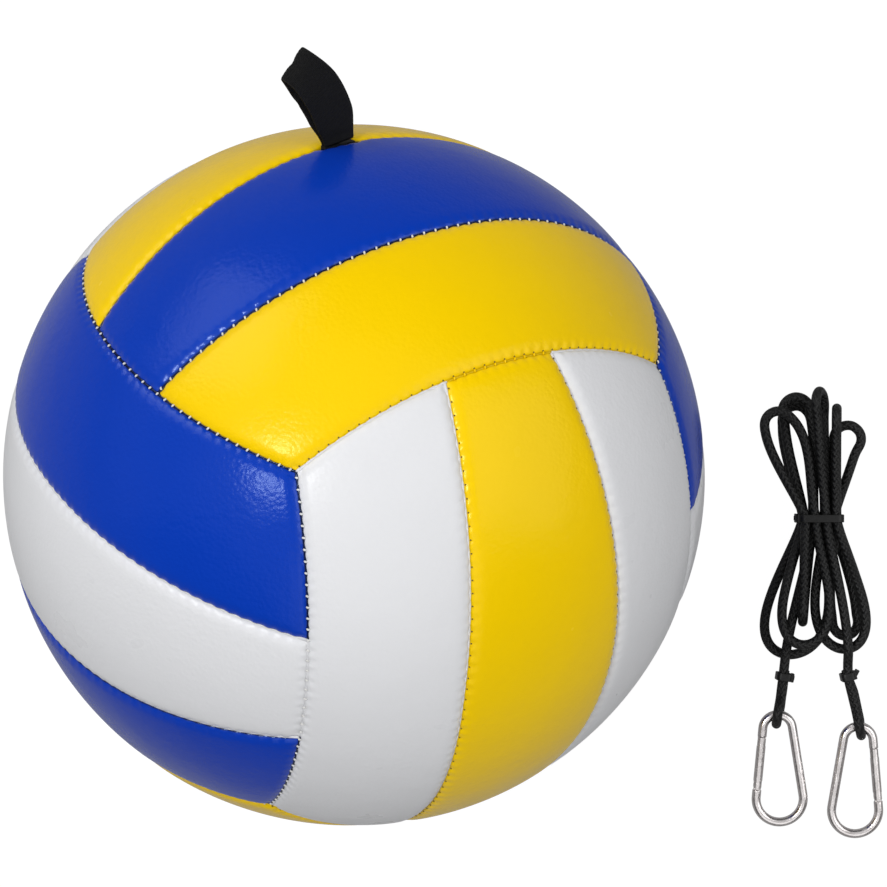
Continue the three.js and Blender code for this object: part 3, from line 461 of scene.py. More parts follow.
def through(points, per_span):
    """A smooth centripetal curve through points."""
    padded = np.vstack([2 * points[0] - points[1], points, 2 * points[-1] - points[-2]])
    share = np.linspace(0, 1, per_span, endpoint=False)[:, None]
    spans = []
    for a, b, c, d in zip(padded, padded[1:], padded[2:], padded[3:]):
        ab, bc, cd = (math.sqrt(np.linalg.norm(q - p)) for p, q in ((a, b), (b, c), (c, d)))
        leave = ((b - a) / ab - (c - a) / (ab + bc) + (c - b) / bc) * bc
        reach = ((c - b) / bc - (d - b) / (bc + cd) + (d - c) / cd) * bc
        spans.append(b + share * leave + share ** 2 * (3 * (c - b) - 2 * leave - reach)
                     + share ** 3 * (2 * (b - c) + leave + reach))
    return np.vstack(spans + [points[-1][None]])


eye_low = cord_radius + hook_floor_gap
eye_radius = wire_radius + fit_gap + cord_radius
eye_height = eye_low + eye_radius
Route = namedtuple("Route", "line start ahead across eye")


def lead_route(lead):
    """From the hank through the hook's eye and back under the tie, with the frame of its tie and hook."""
    flat, back_past_tie, blend_share = np.array([1, 1, 0]), 2, 0.4
    run_shares = [0, 0.2, 0.45, 0.7, 0.9]
    last, before = lead_points(lead, np.array([1, 1 - 1 / lead_steps]))
    start = last + unit((last - before) * flat) * (cord_diameter + fit_gap) + hank_place
    turn = math.radians(lead.run_degrees)
    ahead = np.array([math.sin(turn), -math.cos(turn), 0])
    across = np.cross(EZ, ahead)
    run = ahead * lead.run
    eye = start * flat + run + EZ * eye_height

    def on_run(share, low, high, sideways=0.0):
        height = low + (high - low) * smoothstep(share, run_shares[1] / 2, run_shares[4])
        return start * flat + run * share + across * sideways + EZ * height

    def aside(share):
        tied = lead.tied_aside + (lead.aside - lead.tied_aside) * smoothstep(share, 0, blend_share)
        return smoothstep(1 - share, 0, blend_share) * tied

    line = [on_run(share, start[2], eye_height + eye_radius) for share in run_shares]
    line += [eye + eye_radius * (ahead * math.cos(angle) + EZ * math.sin(angle))
             for angle in np.linspace(math.pi / 2, -math.pi / 2, 9)]
    line += [on_run(share, tie_lift, eye_low, aside(share)) for share in run_shares[::-1]]
    line.append(line[-1] - back_past_tie * ahead)
    return Route(np.array(line), start, ahead, across, eye)


routes = {side: lead_route(lead) for side, lead in cord_leads.items()}
fine = np.linspace(0, 1, 97)
hank_line = [lead_points(cord_leads["left"], fine[:0:-1])]
hank_line += [loop_points(loop, fine[:-1]) for loop in cord_loops]
hank_line += [lead_points(cord_leads["right"], fine)]
cord_line = np.vstack([through(routes["left"].line, 8)[::-1], np.vstack(hank_line) + hank_place,
                       through(routes["right"].line, 8)])


def eased(line):
    """The route with its sharpest folds opened, clear of itself and of the floor, and as long as before."""
    step, bend, clear, low = 1.5, 4.7, 3.32, cord_radius + 0.04
    rounds, homing, opened = 450, 0.004, ((2, 0.375), (4, 0.2))
    waist_held, tie_held, tie_middle = 2.2, 2.4, -0.2
    eye_slack, eye_zone, neighbours, search_margin, search_every = 0.2, 9, 6, 1.2, 4
    places = spaced(line, step)
    home, count = places.copy(), len(places)
    rest = walked_along(places)[-1] / (count - 1)
    held = np.abs(places[:, 1] - hank_place[1]) < waist_held
    for route in routes.values():
        held |= np.abs((places - route.start) @ route.ahead - tie_middle) < tie_held
    held[:2] = held[-2:] = True
    free = (~held).astype(float)
    first, second = np.triu_indices(count, neighbours)

    def parted(near, far, push, close):
        """Moves both points of every pair apart, each by the mean of what its close pairs ask."""
        shift, used = np.zeros_like(places), np.zeros(count)
        for ends, sign in ((near, 1), (far, -1)):
            np.add.at(shift, ends, sign * push * free[ends][:, None])
            np.add.at(used, ends, close)
        return places + shift / np.maximum(used, 1)[:, None]

    for turn in range(rounds):
        places += (home - places) * homing * free[:, None]
        for reach, weight in opened:
            chord = 2 * bend * math.sin(reach * step / bend)
            behind = np.arange(count - 2 * reach)
            gap = places[2 * reach:] - places[behind]
            length = np.linalg.norm(gap, axis=1)
            push = unit(gap) * (np.maximum(chord - length, 0) * weight)[:, None]
            places = parted(behind + 2 * reach, behind, push, length < chord)
        if turn % search_every == 0:
            gap = places[first] - places[second]
            close = (gap ** 2).sum(1) < (clear + search_margin) ** 2
            near, far = first[close], second[close]
        gap = places[near] - places[far]
        length = np.linalg.norm(gap, axis=1)
        push = unit(gap) * (np.maximum(clear - length, 0) / np.maximum(free[near] + free[far], 1))[:, None]
        places = parted(near, far, push, length < clear)
        for route in routes.values():
            gap = places - route.eye
            close = np.linalg.norm(gap, axis=1) < eye_zone
            gap -= (gap @ route.across)[:, None] * route.across
            short = np.maximum(eye_radius - eye_slack - np.linalg.norm(gap, axis=1), 0)
            places += unit(gap) * (short * close * free)[:, None]
        for start in (0, 1, 0, 1):
            a = np.arange(start, count - 1, 2)
            apart = places[a + 1] - places[a]
            extra = np.linalg.norm(apart, axis=1) - rest
            extra = unit(apart) * (extra / np.maximum(free[a] + free[a + 1], 1))[:, None]
            places[a] += extra * free[a][:, None]
            places[a + 1] -= extra * free[a + 1][:, None]
        places[:, 2] = np.where(held, places[:, 2], np.maximum(places[:, 2], low))
    return places


cord_skin, cord_end_round, cord_path_step = 0.03, 0.35, 1.5
cord_line = spaced(through(eased(cord_line), 6), 0.5)
for _ in range(4):
    cord_line[1:-1] = (cord_line[:-2] + 2 * cord_line[1:-1] + cord_line[2:]) / 4
cord = make("elastic_cord", tube(cord_line, cord_radius + cord_skin, 20, rounded_end=cord_end_round),
            cord_cover, "cord_set", ("cord_hank", "cord_lead_left", "cord_lead_right"))


# Cable ties

TieHead = namedtuple("TieHead", "side proud height tongue thickness")
tie_heads = {"waist": TieHead(-1, 0.7, 4.4, 0, 0.7), "left": TieHead(1, 0.8, 3.4, 0, 0.5),
             "right": TieHead(1, 0.5, 3.4, 1.5, 0.5)}
tie_width, tie_head_length, tie_slack, waist_tie_gap = 2.6, 3.0, 0.14, 0.2
tie_rounding, tie_head_rounding = 0.22, 0.3
tongue_half_width, tongue_rounding, tongue_degrees = 0.8, 0.2, 50
stub_out, stub_in, stub_half_height, stub_half_width, stub_rounding = 0.25, 0.1, 0.35, 0.75, 0.12


def rounded_outline(half_width, half_height, corner, steps):
    points = []
    for k, (sx, sy) in enumerate(((1, -1), (1, 1), (-1, 1), (-1, -1))):
        for s in range(steps + 1):
            turn = math.pi / 2 * (k - 1 + s / steps)
            points.append((sx * (half_width - corner) + corner * math.cos(turn),
                           sy * (half_height - corner) + corner * math.sin(turn)))
    return np.array(points)


def soft_box(start, end, half_y, half_z, corner, steps=4):
    """Points and faces of a box from start to end along X, whose edges are all rounded by corner."""
    half_x, least = abs(end - start) / 2, 1e-4
    rows = []
    for n, turn in enumerate(np.linspace(-math.pi / 2, math.pi / 2, 2 * steps + 2)):
        level = (half_z - corner) * (-1 if n <= steps else 1) + corner * math.sin(turn)
        rounding = corner * math.cos(turn) + least
        ring = rounded_outline(half_x - corner + rounding, half_y - corner + rounding, rounding, steps)
        rows.append(np.column_stack([ring, np.full(len(ring), level)]))
    columns = len(rows[0])
    faces = grid_quads(len(rows), columns, wrap=True)[0].tolist() + ring_caps(len(rows), columns)
    return np.vstack(rows) + EX * (start + end) / 2, faces


def tie_band(half_width, half_height, thickness):
    """A band with softly rounded edges round the strands, drawn across X and Y, its width along Z."""
    corner = min(cord_radius, half_width / 2)
    section = rounded_outline(thickness / 2, tie_width / 2, tie_rounding, 4)
    middle = rounded_outline(half_width + thickness / 2, half_height + thickness / 2,
                             corner + thickness / 2, 12)
    ahead = unit(np.roll(middle, -1, axis=0) - np.roll(middle, 1, axis=0))
    outward = np.column_stack([ahead[:, 1], -ahead[:, 0]])
    rows, columns = len(middle), len(section)
    points = np.zeros((rows, columns, 3))
    points[:, :, :2] = middle[:, None] + section[None, :, :1] * outward[:, None]
    points[:, :, 2] = section[None, :, 1]
    quads = grid_quads(rows + 1, columns, wrap=True)[0] % (rows * columns)
    return points.reshape(-1, 3), quads.tolist()


def tie(name, node, half_width, half_height, head, matrix):
    face = head.side * (half_width + head.thickness)
    far = face + head.side * head.proud
    bodies = [tie_band(half_width, half_height, head.thickness),
              soft_box(face - head.side * head.thickness / 2, far, head.height / 2, tie_head_length / 2,
                       tie_head_rounding)]
    if head.tongue > 0:
        strip, strip_faces = soft_box(0, head.side * (head.proud + head.tongue), tie_thickness / 2,
                                      tongue_half_width, tongue_rounding)
        lean = Matrix.Rotation(head.side * math.radians(tongue_degrees), 3, "Y")
        bodies.append((strip @ np.array(lean).T + (face, head.height / 4, 0), strip_faces))
    else:
        tip = far + head.side * stub_out
        bodies.append(soft_box(min(far, tip) - stub_in, max(far, tip), stub_half_height, stub_half_width,
                               stub_rounding))
    return make(name, carried(joined(bodies), matrix), tie_nylon, "cord_set", (node,))


for side, lead in cord_leads.items():
    route = routes[side]
    half_aside = lead.tied_aside / 2
    place = route.start - route.ahead * fit_gap / 2 + route.across * half_aside
    place[2] = tied_height - strand_pitch / 2
    tie(f"cable_tie_{side}", f"tie_{side}", cord_radius + tie_slack + half_aside,
                    strand_pitch / 2 + cord_radius + tie_slack, tie_heads[side],
                    basis(route.across, EZ, route.ahead, place))
tie("cable_tie_waist", "hank_tie", 1.5 * column_pitch + cord_radius + waist_tie_gap,
                strand_pitch + cord_radius + tie_gap, tie_heads["waist"],
                basis(EX, EZ, -EY, hank_place + EZ * (tie_lift + strand_pitch)))


# Snap hooks

hook_length, hook_small_width, hook_large_width, hook_wire = 39.5, 12.9, 18.8, 3.0
hook_nose_drop, hook_hinge_rise, hook_tongue, hook_tongue_width = 2.7, 4.1, 1.1, 2.3
hook_slot_gap, hook_pin_radius, hook_pin_gap, hook_slot_depth, hook_latch_offset = 0.2, 0.42, 0.2, 2.1, 1
hook_end_round, latch_hook_reach, overrun = 0.25, 3, 2
spring_wire, spring_radius, spring_length, spring_turns = 0.32, 0.45, 5, 5
spring_gap, spring_seat = 0.25, 0.3
small_radius = (hook_small_width - hook_wire) / 2
large_radius = (hook_large_width - hook_wire) / 2
hook_reach = hook_length - hook_wire
arc_span = hook_reach - small_radius - large_radius
flare = math.asin((large_radius - small_radius) / arc_span)
gate_span = arc_span * math.cos(flare) - hook_nose_drop - hook_hinge_rise
shoulder_gap = wire_radius + fit_gap
tongue_half = hook_tongue_width / 2
gate_end = gate_span - fit_gap
latch_place = gate_end - hook_latch_offset
slot_half = hook_tongue / 2 + hook_slot_gap
slot_root = tongue_half + hook_slot_gap * 2
pin_hole = hook_pin_radius + hook_pin_gap
hook_tilt = math.asin((eye_height - wire_radius - hook_floor_gap) / hook_reach)
Hook = namedtuple("Hook", "turn gate_side")
hooks = {"left": Hook(2.3, -1), "right": Hook(-1.8, 1)}


def gate_frame(side):
    inward = -np.array([side * math.cos(flare), math.sin(flare), 0])
    ahead = np.array([-side * math.sin(flare), math.cos(flare), 0])
    pin = np.array([0, large_radius - hook_reach, 0]) - inward * large_radius + ahead * hook_hinge_rise
    return basis(inward, ahead, np.cross(inward, ahead), pin)


def cut(body, tool, operation="DIFFERENCE"):
    """The body after one boolean with the tool, both removed."""
    change = body.modifiers.new("cut", "BOOLEAN")
    change.operation, change.object, change.solver = operation, tool, "EXACT"
    mesh = bpy.data.meshes.new_from_object(body.evaluated_get(bpy.context.evaluated_depsgraph_get()))
    old = body.data
    body.modifiers.clear()
    body.data = mesh
    bpy.data.meshes.remove(old)
    bpy.data.objects.remove(tool)
    return body


def taken(body):
    """Points and faces of a scratch body, which is removed."""
    points = np.array([v.co for v in body.data.vertices])
    faces = [list(face.vertices) for face in body.data.polygons]
    bpy.data.objects.remove(body)
    return points, faces


def rod(radius, low, high, axis, sides=48, middle=(0, 0, 0)):
    ends = np.array(middle) + np.outer((low, high), axis)
    return placed("tool", mesh_of("tool", *tube(ends, radius, sides)[:2]))


def block(low, high):
    faces = [(0, 1, 3, 2), (4, 6, 7, 5), (0, 4, 5, 1), (2, 3, 7, 6), (0, 2, 6, 4), (1, 5, 7, 3)]
    return placed("tool", mesh_of("tool", list(product(*zip(low, high))), faces))


def hook_body(side, gate):
    """The bent wire with its hinge tongue and latch tongue. The tongues are drawn in the gate's frame."""
    def arc(y, radius, start, end, steps):
        turn = np.linspace(start, end, steps)
        return np.column_stack([side * radius * np.cos(turn), y + radius * np.sin(turn), 0 * turn])

    line = np.vstack([moved([(0, gate_span, 0)], gate),
                      arc(-small_radius, small_radius, flare, math.pi - flare, 48),
                      arc(large_radius - hook_reach, large_radius, math.pi - flare, 2 * math.pi + flare, 72),
                      moved([(0, -shoulder_gap, 0)], gate)])
    wire = tube(spaced(line, 0.5), wire_radius, 40, rounded_end=hook_end_round)
    half, into_wire = hook_tongue / 2, 1
    hinge = cut(block((-tongue_half, -shoulder_gap - into_wire, -half), (tongue_half, 0, half)),
                rod(tongue_half, -half, half, EZ), "UNION")
    hinge = cut(hinge, rod(pin_hole, -overrun, overrun, EZ))
    nose_half = wire_radius - fit_gap
    nose = block((-nose_half, latch_place - pin_hole - half, -half), (nose_half, gate_span + into_wire, half))
    nose = cut(nose, rod(pin_hole, -overrun, overrun, EZ, middle=(0, latch_place, 0)))
    nose = cut(nose, block((0, latch_place - pin_hole, -overrun),
                           (latch_hook_reach, latch_place + pin_hole, overrun)))
    return joined([wire, carried(taken(hinge), gate), carried(taken(nose), gate)])


def hook_gate():
    """The gate: a rod with a rounded root, a slot at each end and a bore for its spring."""
    bore, wide, sliver = spring_radius + spring_wire / 2 + spring_gap, 2 * wire_radius, 0.001
    root = cut(rod(wire_radius, -wire_radius, wire_radius, EY),
               rod(wire_radius + sliver, -overrun, overrun, EZ), "INTERSECT")
    body = cut(rod(wire_radius, 0, gate_end, EY), root, "UNION")
    body = cut(body, block((-wide, -overrun, -slot_half), (wide, slot_root, slot_half)))
    body = cut(body, block((-wide, latch_place - hook_slot_depth, -slot_half),
                           (wide, gate_end + overrun, slot_half)))
    spring_end = slot_root + spring_length + spring_gap
    return taken(cut(body, rod(bore, slot_root - spring_seat, spring_end, EY, 24)))


def pin(along):
    """A pin with a low domed head at each end, as a riveted pin has."""
    inset = np.array([0, 0.05, 0.2, 0.24])
    radii = np.array([0.25, 0.34, 0.42, hook_pin_radius])
    heights = np.concatenate([inset, hook_wire - hook_pin_gap - inset[::-1]]) - (hook_wire - hook_pin_gap) / 2
    line = np.column_stack([0 * heights, 0 * heights + along, heights])
    return tube(line, np.concatenate([radii, radii[::-1]]), 32)


def spring():
    share = np.linspace(0, 1, spring_turns * 28 + 1)
    turn = 2 * np.pi * spring_turns * share
    along = slot_root + spring_wire + (spring_length - 2 * spring_wire) * share
    line = np.column_stack([spring_radius * np.cos(turn), along, spring_radius * np.sin(turn)])
    return tube(line, spring_wire / 2, 10)


for name, hook in hooks.items():
    gate = gate_frame(hook.gate_side)
    turned = Matrix.Rotation(math.radians(hook.turn), 4, "Z") @ Matrix.Rotation(hook_tilt, 4, "X")
    place = np.array(Matrix.Translation(routes[name].eye) @ turned)
    parts = [("body", "hook", hook_body(hook.gate_side, gate)),
             ("gate", "gate", carried(hook_gate(), gate)), ("hinge_pin", "hook", carried(pin(0), gate)),
             ("latch_pin", "gate", carried(pin(latch_place), gate)),
             ("gate_spring", "gate", carried(spring(), gate))]
    for label, body, shape in parts:
        make(f"snap_hook_{name}_{label}", carried(shape, place), zinc, f"{body}_{name}",
                                (f"hook_{name}_{label}",), smooth=label != "gate")

(spaced(cord_line, cord_path_step) * MM).tolist()


# Ball: pattern of its seams, as directions from its centre

ball_radius = 105.0
panel_thickness, panel_rim_drop, panel_rim_roll = 3.2, 1.3, 4.0
middle_strip_half, strip_end_share = math.radians(14.25), 0.276
group_pinch_share, seam_bow_power = 0.112, 1.67
contact_depth, floor_gap, valve_hole_radius = 0.3, 0.01, 2.3
turn_x, turn_y, turn_z = (Matrix.Rotation(math.radians(a), 3, axis)
                          for a, axis in zip((-54.46, 5.23, 32.46), "XYZ"))
ball_turn = np.array(turn_x @ turn_y @ turn_z)
ball_centre = np.array([0, 0, ball_radius - contact_depth])

Group = namedtuple("Group", "name normal along across colours")
groups = [Group(name, sign * normal, along, across, colours)
          for names, normal, along, across, colours in (
              (("top", "bottom"), EZ, EX, EY, ("yellow", "blue", "yellow")),
              (("right", "left"), EX, EY, EZ, ("blue", "white", "blue")),
              (("back", "front"), EY, EZ, EX, ("white", "yellow", "white")))
          for name, sign in zip(names, (1, -1))]


def to_world(directions_or_points):
    return directions_or_points @ ball_turn.T + ball_centre


def group_edge(index, side, place):
    g = groups[index]
    start, end = unit(g.normal + side * g.across - g.along), unit(g.normal + side * g.across + g.along)
    angle = math.acos(start @ end)
    place = np.asarray(place, float)[..., None]
    share = (place + 1) / 2
    between = (np.sin((1 - share) * angle) * start + np.sin(share * angle) * end) / math.sin(angle)
    return unit(between - group_pinch_share * (1 - place ** 2) * unit(side * g.across - g.normal))


def end_seam(index, end):
    """The neighbour's long side that closes a group's end, and the sense in which it runs."""
    g = groups[index]
    other = next(i for i, n in enumerate(groups) if round(n.normal @ g.along) == end)
    side = int(np.sign(groups[other].across @ g.normal))
    return ("edge", other, side), int(np.sign(groups[other].along @ g.across))


def inner_seam(index, side, place):
    g = groups[index]
    (_, other, other_side), sense = end_seam(index, 1)
    corner = group_edge(other, other_side, side * strip_end_share * sense)
    reach = math.atan2(corner @ g.along, corner @ g.normal)
    end_tilt = math.asin(corner @ g.across) * side
    place = np.asarray(place, float)[..., None]
    tilt = middle_strip_half + (end_tilt - middle_strip_half) * np.abs(place) ** seam_bow_power
    return ((g.normal * np.cos(reach * place) + g.along * np.sin(reach * place)) * np.cos(tilt)
            + g.across * side * np.sin(tilt))


def seam_line(key, place):
    kind, index, side = key
    return (group_edge if kind == "edge" else inner_seam)(index, side, place)


stitch_pitch = {"edge": 3.25, "inner": 3.85}
seam_places = np.linspace(-1, 1, 401)
seams = {}
for index, kind, side in product(range(len(groups)), stitch_pitch, (-1, 1)):
    walked = walked_along(seam_line((kind, index, side), seam_places) * ball_radius)
    seams[kind, index, side] = (walked, round(walked[-1] / stitch_pitch[kind]))


def seam_walk(key, place):
    return np.interp(place, seam_places, seams[key][0])


def pull(key, place):
    """1 where a stitch pulls the leather in and 0 halfway to the next."""
    walked, count = seams[key]
    return 0.5 - 0.5 * np.cos(2 * np.pi * seam_walk(key, place) / walked[-1] * count)


end_places = {-1: (-1, -strip_end_share), 0: (-strip_end_share, strip_end_share), 1: (strip_end_share, 1)}


def strip_borders(index, strip, along, across):
    """The four seams round a strip, each with its places, for shares along and across the strip."""
    low = ("edge", index, -1) if strip == -1 else ("inner", index, -1 if strip == 0 else 1)
    high = ("edge", index, 1) if strip == 1 else ("inner", index, 1 if strip == 0 else -1)
    low_place, high_place = end_places[strip]
    ends = [end_seam(index, end) for end in (-1, 1)]
    return [(low, 2 * along - 1), (high, 2 * along - 1),
            *((key, (low_place + (high_place - low_place) * across) * sense) for key, sense in ends)]


def strip_points(index, strip, along, across):
    """Directions inside one strip, for shares along and across it that run from 0 to 1."""
    along, across = np.broadcast_arrays(np.asarray(along, float), np.asarray(across, float))
    a, c = along[..., None], across[..., None]
    (low, place), (high, _), start, end = strip_borders(index, strip, along, across)
    total = seam_line(low, place) * (1 - c) + seam_line(high, place) * c
    for corner, weight, (key, at) in ((-1, 1 - a, start), (1, a, end)):
        chord = seam_line(low, corner) * (1 - c) + seam_line(high, corner) * c
        total = total + (seam_line(key, at) - chord) * weight
    return unit(total)


# Webbing frame on the seam that it leaves by

webbing_seam, webbing_place = ("inner", 0, 1), 0.01
webbing_out = seam_line(webbing_seam, webbing_place)
webbing_along = seam_line(webbing_seam, 2 * webbing_place) - webbing_out
webbing_along = unit(webbing_along - webbing_out * (webbing_along @ webbing_out))
webbing_face = np.cross(webbing_out, webbing_along)
webbing_width, webbing_thickness, webbing_leg_gap = 13.0, 1.1, 0.5
webbing_gather_width, webbing_gather_height = 9.9, 9.0
webbing_loop_height, webbing_belly, webbing_root_low = 29.2, 2.6, -0.6
webbing_lean, webbing_bend = math.radians(7.6), math.radians(41) / 30.1
stem_half = webbing_thickness + webbing_leg_gap / 2

# Each panel's rim: gaps, sags and scallops at its seams
seam_gap, seam_gap_pull, stem_gap, stem_near, stem_away = 0.05, 0.13, 0.05, 4.7, 9.0
rim_sag, rim_sag_reach = 0.30, 4.5
scallop, scallop_rise, scallop_reach = 0.30, 0.10, 1.9
valve_dimple, valve_dimple_reach, valve_panel = 0.5, 0.9, (1, 0)
rim_steps = np.array([0, 0.12, 0.28, 0.5, 0.78, 1.1, 1.5, 2.0, 2.6, 3.3, 4.1])
step_along, step_across, inner_columns = 0.8, 1.1, 9


def shoulder(distance):
    return np.sqrt(1 - (1 - np.clip(distance / panel_rim_roll, 0, 1)) ** 2)


def span(a, b):
    return ball_radius * np.arccos(np.clip((a * b).sum(-1), -1, 1))


def seam_opening(key, place):
    """Half the gap at a seam: scalloped by its stitches, and parted where the webbing comes through."""
    gap = seam_gap + seam_gap_pull * pull(key, place)
    if key == webbing_seam:
        away = np.abs(seam_walk(key, place) - seam_walk(key, webbing_place))
        gap = gap + (stem_half + stem_gap) * (1 - smoothstep(away, stem_near, stem_away))
    return gap


def panel_points(index, strip, along, across):
    """World points of a panel's outer face, their directions and their distance to its nearest edge."""
    along, across = np.broadcast_arrays(along, across)
    width = span(*(strip_points(index, strip, along, end) for end in (0, 1)))
    length = span(*(strip_points(index, strip, end, across) for end in (0, 1)))
    borders = strip_borders(index, strip, along, across)
    distances = [across * width, (1 - across) * width, along * length, (1 - along) * length]
    low_gap, high_gap, start_gap, end_gap = (seam_opening(key, at) for key, at in borders)
    directions = strip_points(index, strip, (start_gap + along * (length - start_gap - end_gap)) / length,
                              (low_gap + across * (width - low_gap - high_gap)) / width)
    roll, drop = 1.0, 0.0
    for (key, at), distance in zip(borders, distances):
        roll = roll * shoulder(distance)
        drop = drop + rim_sag * np.exp(-distance / rim_sag_reach)
        drop = drop + (scallop * pull(key, at) - scallop_rise) * np.exp(-(distance / scallop_reach) ** 2)
    if (index, strip) == valve_panel:
        from_valve = np.maximum(span(directions, -EZ) - valve_hole_radius, 0)
        drop = drop + valve_dimple * np.exp(-(from_valve / valve_dimple_reach) ** 2)
    radius = ball_radius - panel_rim_drop * (1 - roll) - drop
    world = to_world(directions * radius[..., None])
    world[..., 2] = np.maximum(world[..., 2], floor_gap)
    return world, directions, np.minimum.reduce(distances)


def rim_shares(length, step):
    rim = rim_steps[-1]
    inner = np.linspace(rim, length - rim, int((length - 2 * rim) / step) + 2)[1:-1]
    return np.concatenate([rim_steps, inner, length - rim_steps[::-1]]) / length


def panel(index, strip):
    """A panel's outer face in full, its side walls, and an inner face that keeps only some of the columns."""
    group = groups[index]
    ends = [strip_points(index, strip, a, c) for a, c in ((0, 0.5), (1, 0.5), (0.5, 0), (0.5, 1))]
    along = rim_shares(float(span(ends[0], ends[1])), step_along)
    across = rim_shares(float(span(ends[2], ends[3])), step_across)
    outer, directions, edge = panel_points(index, strip, along[:, None], across[None, :])
    rows, columns = edge.shape
    above = np.arange(rows * columns).reshape(rows, columns)
    kept = np.unique(np.round(np.linspace(0, columns - 1, inner_columns)).astype(int))
    used = np.zeros((rows, columns), bool)
    used[0] = used[-1] = used[:, kept] = True
    below = np.full((rows, columns), -1)
    below[used] = rows * columns + np.arange(used.sum())
    points = np.vstack([outer.reshape(-1, 3), to_world(directions[used] * (ball_radius - panel_thickness))])
    faces = grid_quads(rows, columns)[0].tolist()
    for a, b in zip(kept[:-1], kept[1:]):
        for i in range(1, rows - 2):
            faces.append([below[i, a], below[i + 1, a], below[i + 1, b], below[i, b]])
        faces.append([below[1, a], below[1, b], *below[0, a:b + 1][::-1]])
        faces.append([below[-2, b], below[-2, a], *below[-1, a:b + 1]])
    for wall in (np.s_[:, 0], np.s_[::-1, -1], np.s_[0, ::-1], np.s_[-1, :]):
        high, low = above[wall], below[wall]
        faces += np.column_stack([high[:-1], high[1:], low[1:], low[:-1]]).tolist()
    facing = np.cross(outer[1, 0] - outer[0, 0], outer[0, 1] - outer[0, 0])
    if facing @ (outer[0, 0] - ball_centre) > 0:
        faces = [face[::-1] for face in faces]
    label = {-1: "side_a", 0: "middle", 1: "side_b"}[strip]
    colour = group.colours[strip + 1]
    place = f"{group.name}_{label}"
    return make(f"leather_{place}", (points, faces), leathers[colour], "ball",
                (f"panel_{place}",), np.concatenate([edge.ravel(), np.zeros(used.sum())]))


panels = {place: panel(*place) for place in product(range(len(groups)), (-1, 0, 1))}
hole_tool = rod(valve_hole_radius, ball_radius - 2 * panel_thickness, ball_radius + panel_thickness,
                to_world(-EZ) - ball_centre, 64, ball_centre)
hole_tool.scale = (MM,) * 3
cut(panels[valve_panel], hole_tool)


# Seams: the turned-in rims meet below the surface, and a short thread crosses them at each pull

fold_depth, fold_radius = 1.75, 0.45
thread_half, thread_depth, thread_crown, thread_radius, thread_slant = 0.44, 1.1, 0.2, 0.3, math.radians(20)
hole_reach, hole_depth, hole_radius, webbing_clear = 0.62, 1.12, 0.26, 7


def seam_colours(key, place):
    """The colours of the two panels that meet at a place on a seam."""
    kind, index, side = key
    g = groups[index]
    own = g.colours[1 + side]
    if kind == "inner":
        return {own, g.colours[1]}
    other = next(n for n in groups if round(n.normal @ g.across) == side)
    strip = int(np.digitize(place * round(g.along @ other.across), (-strip_end_share, strip_end_share)))
    return {own, other.colours[strip]}


def fold_colour(key, place):
    colours = seam_colours(key, place)
    if key[0] == "inner" and "white" in colours:
        return "white"
    return "blue" if "blue" in colours else "yellow" if colours == {"yellow"} else "white"


def fold_lines(key):
    """The seam in stretches of one colour each."""
    places = np.linspace(-1, 1, 181)
    tones = [fold_colour(key, place) for place in places]
    start = 0
    for i in range(1, len(places) + 1):
        if i == len(places) or tones[i] != tones[start]:
            yield tones[start], seam_line(key, places[start:i + 1])
            start = i


def seam_frame(key, place):
    normal = seam_line(key, place)
    ahead = unit(seam_line(key, min(place + 0.01, 1)) - seam_line(key, max(place - 0.01, -1)))
    return normal, ahead, np.cross(normal, ahead)


def dot(place, radius):
    """A small eight-sided ball."""
    rings = [(0, -1), (0.7, -0.7), (1, 0), (0.7, 0.7), (0, 1)]
    points = [place + radius * np.array([w * math.cos(a), w * math.sin(a), h])
              for w, h in rings for a in np.linspace(0, 2 * math.pi, 8, endpoint=False)]
    return points, grid_quads(len(rings), 8, wrap=True)[0].tolist()


def needle_hole(key, normal, over):
    """A hole on the yellow side of a seam, drawn as a small dot whose dark colour is painted shade."""
    kind, index, side = key
    inside = groups[index].colours[1 if kind == "inner" else 1 + side] == "yellow"
    towards = over * np.sign(over @ groups[index].across) * (-side if inside else side)
    return dot(unit(normal * ball_radius + towards * hole_reach) * (ball_radius - hole_depth), hole_radius)


def stitch(normal, ahead, over):
    over = over * math.cos(thread_slant) + ahead * math.sin(thread_slant)
    share = np.linspace(-1, 1, 7)[:, None]
    line = normal * (ball_radius - thread_depth - thread_crown * share ** 2) + over * thread_half * share
    return tube(line, thread_radius * np.sqrt(1.02 - 0.75 * share[:, 0] ** 4), 7)


folds = {"blue": [], "yellow": [], "white": []}
threads, yellow_threads, holes = [], [], []
for key, (walked, count) in seams.items():
    for colour, line in fold_lines(key):
        folds[colour].append(tube(line * (ball_radius - fold_depth), fold_radius, 8))
    for at in (np.arange(count) + 0.5) * walked[-1] / count:
        if key == webbing_seam and abs(at - seam_walk(key, webbing_place)) < webbing_clear:
            continue
        place = float(np.interp(at, walked, seam_places))
        colours = seam_colours(key, place)
        normal, ahead, over = seam_frame(key, place)
        if "yellow" in colours and "blue" not in colours:
            holes.append(needle_hole(key, normal, over))
        hidden = colours == {"white", "yellow"} or (key[0] == "inner" and "white" in colours)
        if not hidden and key != webbing_seam:
            (yellow_threads if colours == {"yellow"} else threads).append(stitch(normal, ahead, over))

details = [("seam_stitches", threads, thread, "white", None),
           ("seam_stitches_yellow", yellow_threads, leathers["yellow"], "yellow", 1),
           ("needle_holes", holes, hole_shade, "yellow", None)]
